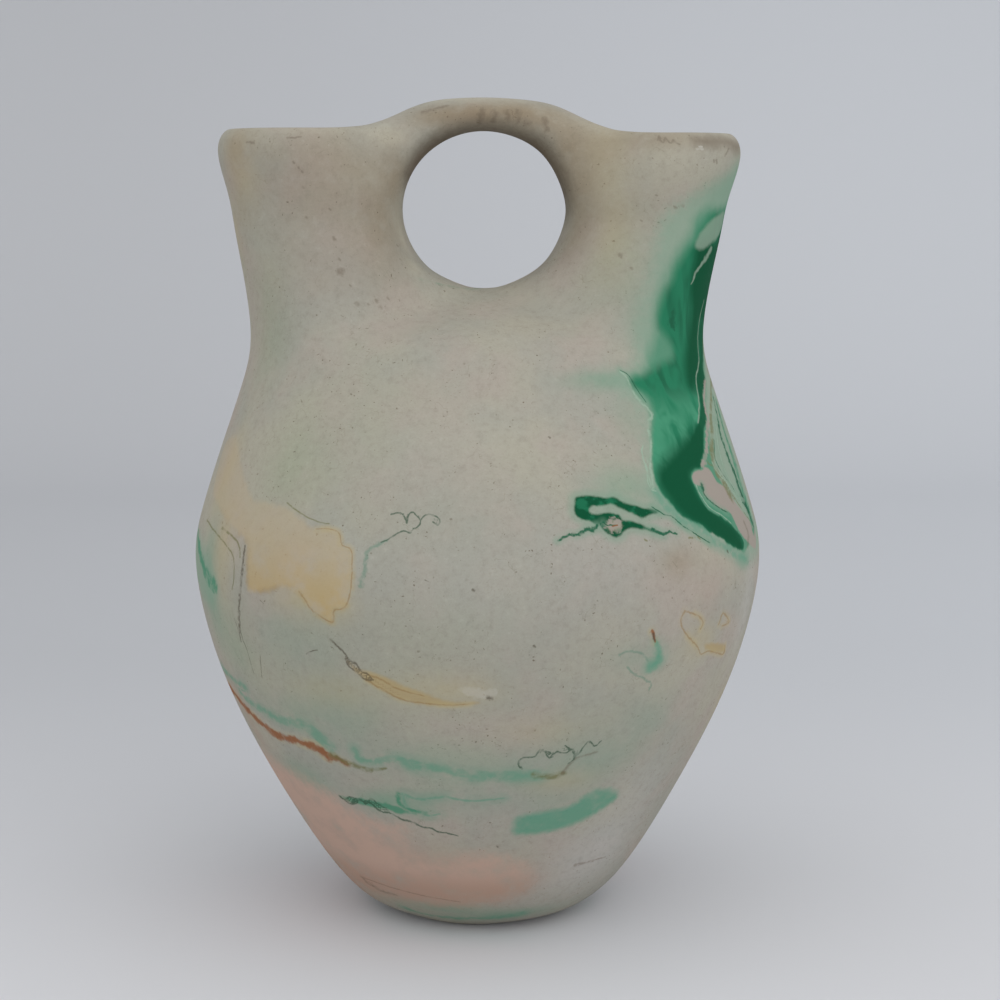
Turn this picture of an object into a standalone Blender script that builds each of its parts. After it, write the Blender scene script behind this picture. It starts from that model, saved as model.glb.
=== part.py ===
"""Double spout vase of fired clay, in metres, +Z up, origin under the middle of the belly.

A round belly narrows to an oval waist, forks into two leaning spouts, and a
stirrup handle bridges the spouts over a round finger hole. The whole clay wall
is one smooth surface, so it is modelled as one cage of points that lie on the
clay. The cage is then parted where the potter lutes the four pieces together.
"""

import math

import bpy
import numpy as np

# Foot and belly
FOOT_WIDTH = 0.040
FOOT_SHIFT = 0.0010
FOOT_GRIND = 0.0004
HEEL_WIDTH = 0.0560
HEEL_HEIGHT = 0.0019
LOWER_WALL_WIDTH = 0.0615
LOWER_WALL_CURVE = 1.55
BELLY_WIDTH = 0.146
BELLY_HEIGHT = 0.090
SHOULDER_CURVE = 1.1

# Waist, where the oval neck is narrowest seen from the front
WAIST_WIDTH = 0.1166
WAIST_BELOW_SADDLE = 0.0100
WAIST_SQUARENESS = 2.3

# Finger hole and the saddle of clay under it
HOLE_WIDTH = 0.0416
HOLE_HEIGHT = 0.0398
HOLE_SHIFT = 0.0017
SADDLE_DEPTH = 0.0220
SADDLE_LENGTH = 0.0170
SADDLE_CROWN = 0.0016
SADDLE_SIDE_DIP = 0.0003

# Spouts
RIM_HEIGHT = 0.2020
RIGHT_RIM_DROP = 0.0011
RIM_SPAN = 0.1328
SPOUT_LEAN = 0.0006
SPOUT_FLARE_CURVE = 1.25
MOUTH_WIDTH = 0.0390
MOUTH_DEPTH = 0.0470
THROAT_DEPTH = 0.0445
THROAT_ABOVE_SADDLE = 0.0180
LIP_ROUNDING = 0.0046
LIP_CREST_INSET = 0.0031

# Handle
HANDLE_RISE = 0.0086
HANDLE_THICKNESS = 0.0084
HANDLE_DEPTH = 0.0220
HANDLE_SHIFT = 0.0030
HANDLE_ROOT_HEIGHT = 0.0106
HANDLE_ROOT_LIFT = 0.0064
HANDLE_SHOULDER_LIFT = 0.0040
HANDLE_SPAN = 0.0625
HANDLE_ARCH_CURVE = 2.5
HANDLE_STATIONS = 5
HANDLE_JOINT_ANGLE = math.radians(50)

# Clay wall
WALL = 0.0048
FLOOR_THICKNESS = 0.0065

# Joints between the luted pieces
JOINT_GAP = 0.0003
SPOUT_JOINT_ABOVE_SADDLE = 0.0025

# Fineness of the cage and of the surface made from it; the fork counts on twelve body points
BODY_POINTS = 12
LOWER_RINGS = (0.12, 0.38, 0.70)
UPPER_RINGS = (0.27, 0.53, 0.78)
SMOOTH_LEVELS = 2
FITTING_ROUNDS = 40
REACH = 0.3

# Angles round the hole of the lower rings of a spout, then angles round a spout's own rings
HOLE_RING_ANGLES = (math.radians(-39), math.radians(-11))
OUTSIDE_ANGLES = tuple(math.radians(angle) for angle in (0, 45, 90, 135, 180))
HOLE_SIDE_ANGLE = math.radians(270)
HOLE_SIDE_SPREAD = math.radians(40)

# Angles round the handle's oval section, from low front over the top to the underside
SECTION_ANGLES = tuple(math.radians(angle) for angle in (-30, 30, 90, 150, 210, 270))

# Heights worked out from the sizes above
HANDLE_TOP = RIM_HEIGHT + HANDLE_RISE - RIGHT_RIM_DROP / 2
HOLE_TOP = HANDLE_TOP - HANDLE_THICKNESS
HOLE_MIDDLE = HOLE_TOP - HOLE_HEIGHT / 2
SADDLE_HEIGHT = HOLE_TOP - HOLE_HEIGHT
WAIST_HEIGHT = SADDLE_HEIGHT - WAIST_BELOW_SADDLE
SPOUT_JOINT_HEIGHT = SADDLE_HEIGHT + SPOUT_JOINT_ABOVE_SADDLE
HANDLE_ROOT = RIM_HEIGHT - LIP_ROUNDING - HANDLE_ROOT_HEIGHT
HANDLE_START = math.asin((HANDLE_ROOT - HOLE_MIDDLE) / (HOLE_HEIGHT / 2))


def ease(share):
    """Smooth run from 0 to 1 that starts and ends level."""
    return share * share * (3 - 2 * share)


def between(start, end, share):
    return start + (end - start) * share


def depth_at(height):
    """Front to back size of belly, neck and spouts, one smooth run up to the throat."""
    throat_height = SADDLE_HEIGHT + THROAT_ABOVE_SADDLE
    if height < throat_height:
        share = (height - BELLY_HEIGHT) / (throat_height - BELLY_HEIGHT)
        return between(BELLY_WIDTH, THROAT_DEPTH, ease(share))
    share = (height - throat_height) / (RIM_HEIGHT - throat_height)
    return between(THROAT_DEPTH, MOUTH_DEPTH, ease(min(1.0, share)))


def oval_point(centre_x, width, depth, height, angle, squareness=2.0):
    """Point of a level oval, with the angle measured round from +X."""
    across = math.cos(angle)
    along = math.sin(angle)
    power = 2 / squareness
    return (
        centre_x + width / 2 * math.copysign(abs(across) ** power, across),
        depth / 2 * math.copysign(abs(along) ** power, along),
        height,
    )


def hole_half_width(height):
    """Half the hole's width at a height inside it."""
    rise = (height - HOLE_MIDDLE) / (HOLE_HEIGHT / 2)
    return HOLE_WIDTH / 2 * math.sqrt(max(0.0, 1 - rise * rise))


def saddle_height(offset):
    """Height of the hole's lower edge, at an offset from the hole's middle."""
    share = offset / (HOLE_WIDTH / 2)
    return HOLE_MIDDLE - HOLE_HEIGHT / 2 * math.sqrt(max(0.0, 1 - share * share))


def arch_height(offset):
    """Height of the handle's upper edge, at an offset from the handle's middle."""
    drop = RIGHT_RIM_DROP * (0.5 + offset / HANDLE_SPAN)
    share = min(1.0, abs(offset) / (HANDLE_SPAN / 2))
    return RIM_HEIGHT - drop + HANDLE_RISE * (1 - share**HANDLE_ARCH_CURVE)


class Cage:
    """Points that lie on the clay, and the four-sided faces between them."""

    def __init__(self):
        self.points = []
        self.faces = []

    def add(self, place):
        self.points.append(np.array(place, dtype=float))
        return len(self.points) - 1

    def band(self, lower, upper):
        for i in range(len(lower)):
            j = (i + 1) % len(lower)
            self.faces.append((lower[i], lower[j], upper[j], upper[i]))

    def normals(self):
        """Outward direction at each point, from the faces round it."""
        total = np.zeros((len(self.points), 3))
        for a, b, c, d in self.faces:
            across = self.points[c] - self.points[a]
            along = self.points[d] - self.points[b]
            facing = np.cross(across, along)
            for corner in (a, b, c, d):
                total[corner] += facing
        return total / np.linalg.norm(total, axis=1, keepdims=True)


def body_ring(cage, height, width, depth, squareness):
    """Ring of the belly, whose middle leans towards the foot's own middle lower down."""
    step = 2 * math.pi / BODY_POINTS
    centre = FOOT_SHIFT * max(0.0, 1 - height / BELLY_HEIGHT) ** 3
    return [
        cage.add(oval_point(centre, width, depth, height, i * step, squareness))
        for i in range(BODY_POINTS)
    ]


def body_rings(cage):
    """Rings of the belly from the foot up to the waist."""
    rings = [
        body_ring(cage, -FOOT_GRIND, FOOT_WIDTH, FOOT_WIDTH, 2.0),
        body_ring(cage, HEEL_HEIGHT, HEEL_WIDTH, HEEL_WIDTH, 2.0),
    ]
    for share in LOWER_RINGS + (1.0,):
        narrowing = (BELLY_WIDTH - LOWER_WALL_WIDTH) * (1 - share) ** LOWER_WALL_CURVE
        width = BELLY_WIDTH - narrowing
        rings.append(body_ring(cage, BELLY_HEIGHT * share, width, width, 2.0))
    for share in UPPER_RINGS + (1.0,):
        height = between(BELLY_HEIGHT, WAIST_HEIGHT, share)
        width = between(BELLY_WIDTH, WAIST_WIDTH, ease(share**SHOULDER_CURVE))
        depth = depth_at(height)
        squareness = between(2.0, WAIST_SQUARENESS, share)
        rings.append(body_ring(cage, height, width, depth, squareness))
    return rings


def close_foot(cage, ring):
    """Fills the foot ring with nine faces, three by three, so every face has four sides."""
    corner = [cage.points[ring[i]] for i in (1, 4, 7, 10)]
    middle = sum(corner) / 4
    inner = [cage.add(between(middle, place, 1 / 3)) for place in corner]
    for i in range(4):
        start = 1 + 3 * i
        outer = [ring[(start + step) % BODY_POINTS] for step in range(-1, 3)]
        following = inner[(i + 1) % 4]
        cage.faces.append((outer[2], outer[1], outer[0], inner[i]))
        cage.faces.append((outer[3], outer[2], inner[i], following))
    cage.faces.append(tuple(reversed(inner)))


def spout_ring(cage, side, height, outer, inner, depth):
    """Ring of one spout, whose edges lie at distances outer and inner from the vase's axis.

    Its first five points go round the outer half, and its sixth to eighth lie next to the
    hole, the seventh of them at the hole's very edge.
    """
    start = math.radians(270 if side > 0 else 90)
    beside_hole = tuple(HOLE_SIDE_ANGLE + turn * HOLE_SIDE_SPREAD for turn in (-1, 0, 1))
    centre = side * (outer + inner) / 2
    return [
        cage.add(oval_point(centre, outer - inner, depth, height, start + angle))
        for angle in OUTSIDE_ANGLES + beside_hole
    ]


def saddle_column(cage, offset):
    """Front, middle and back point of the saddle, at an offset from the hole's middle.

    The side columns lie a little lower, because the smooth surface swells between them.
    """
    height = saddle_height(offset) - (SADDLE_SIDE_DIP if offset else 0)
    x = HOLE_SHIFT + offset
    return [
        cage.add((x, -SADDLE_DEPTH / 2, height - SADDLE_CROWN)),
        cage.add((x, 0, height)),
        cage.add((x, SADDLE_DEPTH / 2, height - SADDLE_CROWN)),
    ]


def spout_rings(cage, side):
    """Rings of one spout from above the fork to just under the lip."""
    rim = RIM_HEIGHT - (RIGHT_RIM_DROP if side > 0 else 0)
    lip_foot = rim - LIP_ROUNDING
    heights = [HOLE_MIDDLE + HOLE_HEIGHT / 2 * math.sin(angle) for angle in HOLE_RING_ANGLES]
    heights.append(lip_foot - HANDLE_ROOT_HEIGHT)
    edges = [(height, side * HOLE_SHIFT + hole_half_width(height)) for height in heights]
    edges.append((lip_foot, side * HANDLE_SHIFT + RIM_SPAN / 2 - MOUTH_WIDTH))
    mouth_outer = RIM_SPAN / 2 + side * SPOUT_LEAN
    rings = []
    for height, inner in edges:
        climb = (height - WAIST_HEIGHT) / (lip_foot - WAIST_HEIGHT)
        outer = between(WAIST_WIDTH / 2, mouth_outer, climb**SPOUT_FLARE_CURVE)
        rings.append(spout_ring(cage, side, height, outer, inner, depth_at(height)))
    lifts = (HANDLE_SHOULDER_LIFT, HANDLE_ROOT_LIFT, HANDLE_SHOULDER_LIFT)
    for corner, lift in zip(rings[-1][5:], lifts):
        cage.points[corner][2] += lift
    return rings, rim


def lip_ring(cage, ring, rim):
    """Crest of the lip, inside a ring of the outer skin and level at the rim's height."""
    places = [cage.points[i] for i in ring]
    middle = sum(places) / len(places)
    crest = []
    for place in places:
        towards = middle - place
        towards[2] = 0
        inset = towards / np.linalg.norm(towards) * LIP_CREST_INSET
        crest.append(cage.add((place[0] + inset[0], place[1] + inset[1], rim)))
    return crest


def outer_skin(cage):
    """Outer surface of belly, saddle and both spouts, open at the mouths."""
    rings = body_rings(cage)
    close_foot(cage, rings[0])
    for lower, upper in zip(rings, rings[1:]):
        cage.band(lower, upper)
    waist = rings[-1]
    columns = [
        saddle_column(cage, offset) for offset in (-SADDLE_LENGTH / 2, 0, SADDLE_LENGTH / 2)
    ]
    left, _, right = columns
    fronts = waist[8:11]
    backs = [waist[4], waist[3], waist[2]]
    strips = [[fronts[i]] + columns[i] + [backs[i]] for i in range(3)]
    for near, far in zip(strips, strips[1:]):
        for i in range(4):
            cage.faces.append((near[i], far[i], far[i + 1], near[i + 1]))
    left_loop = waist[4:9] + left
    right_loop = waist[10:] + waist[:3] + right[::-1]
    mouths = []
    for side, loop in ((-1, left_loop), (1, right_loop)):
        spout, rim = spout_rings(cage, side)
        for lower, upper in zip([loop] + spout, spout):
            cage.band(lower, upper)
        mouths.append((spout[-2], spout[-1], rim))
    return rings, mouths


def add_inner_skin(cage, rings):
    """Inner surface, one wall thickness inside the outer one and facing the other way."""
    facing = cage.normals()
    count = len(cage.points)
    thickness = np.full(count, WALL)
    thickness[rings[0]] = FLOOR_THICKNESS + FOOT_GRIND
    thickness[rings[1]] = FLOOR_THICKNESS
    for corner in range(count):
        if cage.points[corner][2] < 0:
            thickness[corner] = FLOOR_THICKNESS + FOOT_GRIND
    for corner in range(count):
        cage.add(cage.points[corner] - thickness[corner] * facing[corner])
    for face in list(cage.faces):
        cage.faces.append(tuple(corner + count for corner in reversed(face)))
    return count


def add_lips(cage, mouths, inner_start):
    """Rounded lips that join the outer and inner skins."""
    for _, top, rim in mouths:
        crest = lip_ring(cage, top, rim)
        inside = [corner + inner_start for corner in top]
        for corner, outside, high in zip(inside, top, crest):
            towards = cage.points[high] - cage.points[outside]
            cage.points[corner] = cage.points[outside] + towards * WALL / LIP_CREST_INSET
            cage.points[corner][2] = rim - LIP_ROUNDING
        cage.band(top, crest)
        cage.band(crest, inside)


def handle_station(cage, share):
    """Six corners of the handle's oval section, a share of the way from left to right."""
    angle = between(math.pi - HANDLE_START, HANDLE_START, share)
    under = np.array((
        HOLE_SHIFT + HOLE_WIDTH / 2 * math.cos(angle),
        0,
        HOLE_MIDDLE + HOLE_HEIGHT / 2 * math.sin(angle),
    ))
    span = RIM_SPAN / 2 - MOUTH_WIDTH
    offset = between(-span, span, share)
    over = np.array((HANDLE_SHIFT + offset, 0, arch_height(offset)))
    middle = (under + over) / 2
    rise = (over - under) / 2
    front = np.array((0, -HANDLE_DEPTH / 2, 0))
    return [
        cage.add(middle + rise * math.sin(angle) + front * math.cos(angle))
        for angle in SECTION_ANGLES
    ]


def add_handle(cage, mouths):
    """Opens two faces at the inner side of each spout and bridges the spouts with the handle."""
    (left_low, left_top, _), (right_low, right_top, _) = mouths
    opened = set()
    for low, top in ((left_low, left_top), (right_low, right_top)):
        for i in (5, 6):
            opened.add(frozenset((low[i], low[i + 1], top[i], top[i + 1])))
    cage.faces = [face for face in cage.faces if frozenset(face) not in opened]
    stations = [[left_low[5], left_top[5], left_top[6], left_top[7], left_low[7], left_low[6]]]
    for i in range(HANDLE_STATIONS):
        stations.append(handle_station(cage, (i + 1) / (HANDLE_STATIONS + 1)))
    stations.append(
        [right_low[7], right_top[7], right_top[6], right_top[5], right_low[5], right_low[6]]
    )
    for start, end in zip(stations, stations[1:]):
        cage.band(end, start)


def smooth_places(points, corners):
    """Where each point lands on the smooth surface that a closed cage of four-sided faces makes."""
    faces_round = np.zeros(len(points))
    neighbours = np.zeros_like(points)
    opposites = np.zeros_like(points)
    for i in range(4):
        corner = corners[:, i]
        np.add.at(faces_round, corner, 1)
        np.add.at(neighbours, corner, points[corners[:, (i + 1) % 4]] / 2)
        np.add.at(neighbours, corner, points[corners[:, (i + 3) % 4]] / 2)
        np.add.at(opposites, corner, points[corners[:, (i + 2) % 4]])
    n = faces_round[:, None]
    return (n * n * points + 4 * neighbours + opposites) / (n * (n + 5))


def fitted(cage):
    """Cage points moved out until the smooth surface passes through the places they had."""
    wanted = np.array(cage.points)
    corners = np.array(cage.faces)
    points = wanted.copy()
    for _ in range(FITTING_ROUNDS):
        points += wanted - smooth_places(points, corners)
    return points


def clay_mesh():
    cage = Cage()
    rings, mouths = outer_skin(cage)
    inner_start = add_inner_skin(cage, rings)
    add_lips(cage, mouths, inner_start)
    add_handle(cage, mouths)
    mesh = bpy.data.meshes.new("clay_cage")
    mesh.from_pydata(fitted(cage).tolist(), [], cage.faces)
    mesh.validate()
    mesh.shade_smooth()
    return mesh


def cutter(name, corners):
    """Prism along Y, hidden from the render, from its outline in XZ taken anticlockwise."""
    count = len(corners)
    points = [(x, -REACH, z) for x, z in corners] + [(x, REACH, z) for x, z in corners]
    faces = [tuple(range(count)), tuple(reversed(range(count, 2 * count)))]
    for i in range(count):
        j = (i + 1) % count
        faces.append((j, i, i + count, j + count))
    mesh = bpy.data.meshes.new(name)
    mesh.from_pydata(points, [], faces)
    shape = bpy.data.objects.new(name, mesh)
    shape.hide_render = True
    shape.display_type = "WIRE"
    bpy.context.scene.collection.objects.link(shape)
    return shape


def box_cutter(name, left, right, low, high):
    return cutter(name, [(left, low), (right, low), (right, high), (left, high)])


def handle_wedge(name, clearance):
    """Wedge that opens upwards from the hole's middle and holds the handle."""
    sine = math.sin(HANDLE_JOINT_ANGLE)
    cosine = math.cos(HANDLE_JOINT_ANGLE)
    tip = HOLE_MIDDLE - clearance / sine
    top_right = (HOLE_SHIFT + REACH * sine, tip + REACH * cosine)
    top_left = (HOLE_SHIFT - REACH * sine, tip + REACH * cosine)
    return cutter(name, [(HOLE_SHIFT, tip), top_right, top_left])


def clay_material(name, colour, roughness):
    material = bpy.data.materials.new(name)
    material.use_nodes = True
    shader = material.node_tree.nodes["Principled BSDF"]
    shader.inputs["Base Color"].default_value = (*colour, 1)
    shader.inputs["Roughness"].default_value = roughness
    shader.inputs["Metallic"].default_value = 0
    return material


def luted_piece(name, clay, material, cuts):
    """One piece of the vase: the smoothed clay, kept or cut by each cutter in turn."""
    mesh = clay.copy()
    mesh.name = name
    mesh.materials.append(material)
    piece = bpy.data.objects.new(name, mesh)
    bpy.context.scene.collection.objects.link(piece)
    smooth = piece.modifiers.new("smooth clay", "SUBSURF")
    smooth.levels = SMOOTH_LEVELS
    smooth.render_levels = SMOOTH_LEVELS
    for operation, shape in cuts:
        cut = piece.modifiers.new(shape.name, "BOOLEAN")
        cut.operation = operation
        cut.object = shape
        cut.solver = "EXACT"
    return piece


def main():
    for old in list(bpy.data.objects):
        bpy.data.objects.remove(old)
    clay = clay_mesh()
    joint_top = SPOUT_JOINT_HEIGHT + JOINT_GAP
    below_joint = box_cutter("below_spout_joint", -REACH, REACH, 0, SPOUT_JOINT_HEIGHT)
    left_side = box_cutter("left_spout_space", -REACH, HOLE_SHIFT, joint_top, REACH)
    right_side = box_cutter("right_spout_space", HOLE_SHIFT, REACH, joint_top, REACH)
    handle_space = handle_wedge("handle_space", 0)
    handle_clearance = handle_wedge("handle_clearance", JOINT_GAP)
    body_clay = clay_material("body_clay", (0.42, 0.38, 0.31), 0.78)
    spout_clay = clay_material("spout_clay", (0.38, 0.34, 0.27), 0.80)
    handle_clay = clay_material("handle_clay", (0.33, 0.28, 0.21), 0.80)
    luted_piece("body", clay, body_clay, [("INTERSECT", below_joint)])
    luted_piece(
        "left_spout", clay, spout_clay,
        [("INTERSECT", left_side), ("DIFFERENCE", handle_clearance)],
    )
    luted_piece(
        "right_spout", clay, spout_clay,
        [("INTERSECT", right_side), ("DIFFERENCE", handle_clearance)],
    )
    luted_piece("handle", clay, handle_clay, [("INTERSECT", handle_space)])


main()
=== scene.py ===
# %% [markdown]
# # A double spout vase of marbled clay
# The vase is one fired wall of clay: a round belly, an oval neck that forks into two open spouts,
# and a stirrup handle over a finger hole. Its outside wears thin washes and threads of mineral colour.
# This lesson loads the measured vase, models its skin finely, traces the paint onto that skin,
# mixes the finishes, and sets the vase on a pale table under soft light.

# %% Load the measured vase
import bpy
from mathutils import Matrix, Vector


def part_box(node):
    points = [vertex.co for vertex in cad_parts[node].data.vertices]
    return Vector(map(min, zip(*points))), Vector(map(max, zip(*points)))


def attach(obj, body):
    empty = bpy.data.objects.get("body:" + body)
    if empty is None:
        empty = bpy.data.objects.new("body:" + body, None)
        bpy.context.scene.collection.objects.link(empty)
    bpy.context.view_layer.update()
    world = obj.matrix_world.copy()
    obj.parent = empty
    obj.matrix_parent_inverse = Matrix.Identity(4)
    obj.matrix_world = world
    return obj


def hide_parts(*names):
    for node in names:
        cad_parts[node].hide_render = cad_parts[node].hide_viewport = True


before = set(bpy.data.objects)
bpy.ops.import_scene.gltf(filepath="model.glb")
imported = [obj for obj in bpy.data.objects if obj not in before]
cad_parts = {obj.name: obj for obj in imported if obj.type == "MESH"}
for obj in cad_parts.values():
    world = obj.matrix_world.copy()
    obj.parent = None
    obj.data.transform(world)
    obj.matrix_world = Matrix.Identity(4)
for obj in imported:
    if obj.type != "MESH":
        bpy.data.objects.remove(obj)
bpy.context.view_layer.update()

# %% [markdown]
# Blender's own modules do the modelling. numpy handles many points at once, the two trees find the
# nearest point or the spot a ray hits, and everything is in metres with +Z up.

# %% Modules and small helpers
import math

import bmesh
import bpy
import numpy as np
from mathutils import Vector
from mathutils.bvhtree import BVHTree
from mathutils.kdtree import KDTree

MM = 0.001


def between(start, end, share):
    return start + (end - start) * share


def ease(share):
    """Smooth run from 0 to 1 that starts and ends level."""
    return share * share * (3 - 2 * share)


print("a quarter of the way, eased, is", ease(0.25))

# %% [markdown]
# The camera comes first, because the paint is traced through it. The photograph was taken from a
# little above the belly, about half a metre away, looking slightly down. The vase's axis lies left of
# the picture's middle, so the camera stays aimed at the axis and its picture is shifted a little.

# %% Camera
CAMERA_DISTANCE = 0.55
CAMERA_HEIGHT = 0.188
CAMERA_TURN = math.radians(2.0)
CAMERA_TILT = math.radians(8.40)
CAMERA_LENS = 76.7
SENSOR_WIDTH = 36.0
PICTURE_SIZE = 1000
VASE_AXIS_PX = 477.5

camera = bpy.data.objects.new("camera", bpy.data.cameras.new("camera"))
bpy.context.scene.collection.objects.link(camera)
camera.location = (
    -CAMERA_DISTANCE * math.sin(CAMERA_TURN),
    -CAMERA_DISTANCE * math.cos(CAMERA_TURN),
    CAMERA_HEIGHT,
)
camera.rotation_euler = (math.pi / 2 - CAMERA_TILT, 0, -CAMERA_TURN)
camera.data.lens = CAMERA_LENS
camera.data.sensor_width = SENSOR_WIDTH
camera.data.shift_x = (PICTURE_SIZE / 2 - VASE_AXIS_PX) / PICTURE_SIZE
bpy.context.scene.camera = camera
bpy.context.view_layer.update()
print("camera at", [round(part, 3) for part in camera.location])

# %% [markdown]
# The clay's shape follows the same sizes as the measured vase. A smooth form like this is best made
# from a coarse cage of four-sided faces: rings for the belly, a saddle where the neck forks, rings for
# each spout, and a short bridge for the handle. The sizes are the ones a potter would note down.

# %% Sizes of the clay
FOOT_WIDTH = 0.040
FOOT_SHIFT = 0.0010
FOOT_SHIFT_FADE = 3
FOOT_GRIND = 0.0004
HEEL_WIDTH = 0.0560
HEEL_HEIGHT = 0.0019
LOWER_WALL_WIDTH = 0.0615
LOWER_WALL_CURVE = 1.55
BELLY_WIDTH = 0.146
BELLY_HEIGHT = 0.090
SHOULDER_CURVE = 1.1

WAIST_WIDTH = 0.1166
WAIST_BELOW_SADDLE = 0.0100
WAIST_SQUARENESS = 2.3
ROUND = 2.0

HOLE_WIDTH = 0.0416
HOLE_HEIGHT = 0.0398
HOLE_SHIFT = 0.0017
SADDLE_DEPTH = 0.0220
SADDLE_LENGTH = 0.0170
SADDLE_CROWN = 0.0016
SADDLE_SIDE_DIP = 0.0003

RIM_HEIGHT = 0.2020
RIGHT_RIM_DROP = 0.0011
RIM_SPAN = 0.1328
SPOUT_LEAN = 0.0006
SPOUT_FLARE_CURVE = 1.25
MOUTH_WIDTH = 0.0390
MOUTH_DEPTH = 0.0470
THROAT_DEPTH = 0.0445
THROAT_ABOVE_SADDLE = 0.0180
LIP_ROUNDING = 0.0046
LIP_CREST_INSET = 0.0031

HANDLE_RISE = 0.0086
HANDLE_THICKNESS = 0.0084
HANDLE_DEPTH = 0.0220
HANDLE_SHIFT = 0.0030
HANDLE_ROOT_HEIGHT = 0.0106
HANDLE_ROOT_LIFT = 0.0064
HANDLE_SHOULDER_LIFT = 0.0040
HANDLE_SPAN = 0.0625
HANDLE_ARCH_CURVE = 2.5
HANDLE_STATIONS = 5
HANDLE_JOINT_ANGLE = math.radians(50)

WALL = 0.0048
FLOOR_THICKNESS = 0.0065

BODY_POINTS = 12
LOWER_RINGS = (0.12, 0.38, 0.70)
UPPER_RINGS = (0.27, 0.53, 0.78)
HOLE_RING_ANGLES = (math.radians(-39), math.radians(-11))
OUTSIDE_ANGLES = tuple(math.radians(angle) for angle in (0, 45, 90, 135, 180))
HOLE_SIDE_ANGLE = math.radians(270)
HOLE_SIDE_SPREAD = math.radians(40)
SECTION_ANGLES = tuple(math.radians(angle) for angle in (-30, 30, 90, 150, 210, 270))
FITTING_ROUNDS = 40

HANDLE_TOP = RIM_HEIGHT + HANDLE_RISE - RIGHT_RIM_DROP / 2
HOLE_TOP = HANDLE_TOP - HANDLE_THICKNESS
HOLE_MIDDLE = HOLE_TOP - HOLE_HEIGHT / 2
SADDLE_HEIGHT = HOLE_TOP - HOLE_HEIGHT
WAIST_HEIGHT = SADDLE_HEIGHT - WAIST_BELOW_SADDLE
HANDLE_ROOT = RIM_HEIGHT - LIP_ROUNDING - HANDLE_ROOT_HEIGHT
HANDLE_START = math.asin((HANDLE_ROOT - HOLE_MIDDLE) / (HOLE_HEIGHT / 2))
print("hole from", round(SADDLE_HEIGHT / MM, 1), "to", round(HOLE_TOP / MM, 1), "mm above the table")

# %% [markdown]
# Every ring is a level oval. The front to back size runs smoothly from the round belly to the slim
# throat, and the hole is an upright ellipse, so its edge gives each spout ring its inner side.

# %% Ovals and edges


def depth_at(height):
    """Front to back size of belly, neck and spouts, one smooth run up to the throat."""
    throat_height = SADDLE_HEIGHT + THROAT_ABOVE_SADDLE
    if height < throat_height:
        share = (height - BELLY_HEIGHT) / (throat_height - BELLY_HEIGHT)
        return between(BELLY_WIDTH, THROAT_DEPTH, ease(share))
    share = (height - throat_height) / (RIM_HEIGHT - throat_height)
    return between(THROAT_DEPTH, MOUTH_DEPTH, ease(min(1.0, share)))


def oval_point(centre_x, width, depth, height, angle, squareness=ROUND):
    """Point of a level oval, with the angle measured round from +X."""
    across = math.cos(angle)
    along = math.sin(angle)
    power = 2 / squareness
    return (
        centre_x + width / 2 * math.copysign(abs(across) ** power, across),
        depth / 2 * math.copysign(abs(along) ** power, along),
        height,
    )


def hole_half_width(height):
    rise = (height - HOLE_MIDDLE) / (HOLE_HEIGHT / 2)
    return HOLE_WIDTH / 2 * math.sqrt(max(0.0, 1 - rise * rise))


def saddle_height(offset):
    share = offset / (HOLE_WIDTH / 2)
    return HOLE_MIDDLE - HOLE_HEIGHT / 2 * math.sqrt(max(0.0, 1 - share * share))


def arch_height(offset):
    """Height of the handle's upper edge, at an offset from the handle's middle."""
    drop = RIGHT_RIM_DROP * (0.5 + offset / HANDLE_SPAN)
    share = min(1.0, abs(offset) / (HANDLE_SPAN / 2))
    return RIM_HEIGHT - drop + HANDLE_RISE * (1 - share**HANDLE_ARCH_CURVE)


print("the waist is", round(depth_at(WAIST_HEIGHT) / MM, 1), "mm from front to back")

# %% [markdown]
# A cage is only a list of points and a list of faces that name four points each. The class below adds
# points, joins two rings with a band of faces, and works out which way the clay faces at each point.

# %% The cage
class Cage:
    """Points that lie on the clay, and the four-sided faces between them."""

    def __init__(self):
        self.points = []
        self.faces = []

    def add(self, place):
        self.points.append(np.array(place, dtype=float))
        return len(self.points) - 1

    def band(self, lower, upper):
        for i in range(len(lower)):
            j = (i + 1) % len(lower)
            self.faces.append((lower[i], lower[j], upper[j], upper[i]))

    def normals(self):
        total = np.zeros((len(self.points), 3))
        for a, b, c, d in self.faces:
            facing = np.cross(self.points[c] - self.points[a], self.points[d] - self.points[b])
            for corner in (a, b, c, d):
                total[corner] += facing
        return total / np.linalg.norm(total, axis=1, keepdims=True)


tile = Cage()
tile.faces.append([tile.add(place) for place in ((0, 0, 0), (1, 0, 0), (1, 1, 0), (0, 1, 0))])
print("a tile that lies on the table faces", tile.normals()[0])

# %% [markdown]
# The belly is turned: its rings are round up to the widest place, then they grow oval towards the
# waist. The foot is closed with three by three faces, so that every face keeps four sides.

# %% Belly and foot
def body_ring(cage, height, width, depth, squareness):
    step = 2 * math.pi / BODY_POINTS
    centre = FOOT_SHIFT * max(0.0, 1 - height / BELLY_HEIGHT) ** FOOT_SHIFT_FADE
    return [
        cage.add(oval_point(centre, width, depth, height, i * step, squareness))
        for i in range(BODY_POINTS)
    ]


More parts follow.
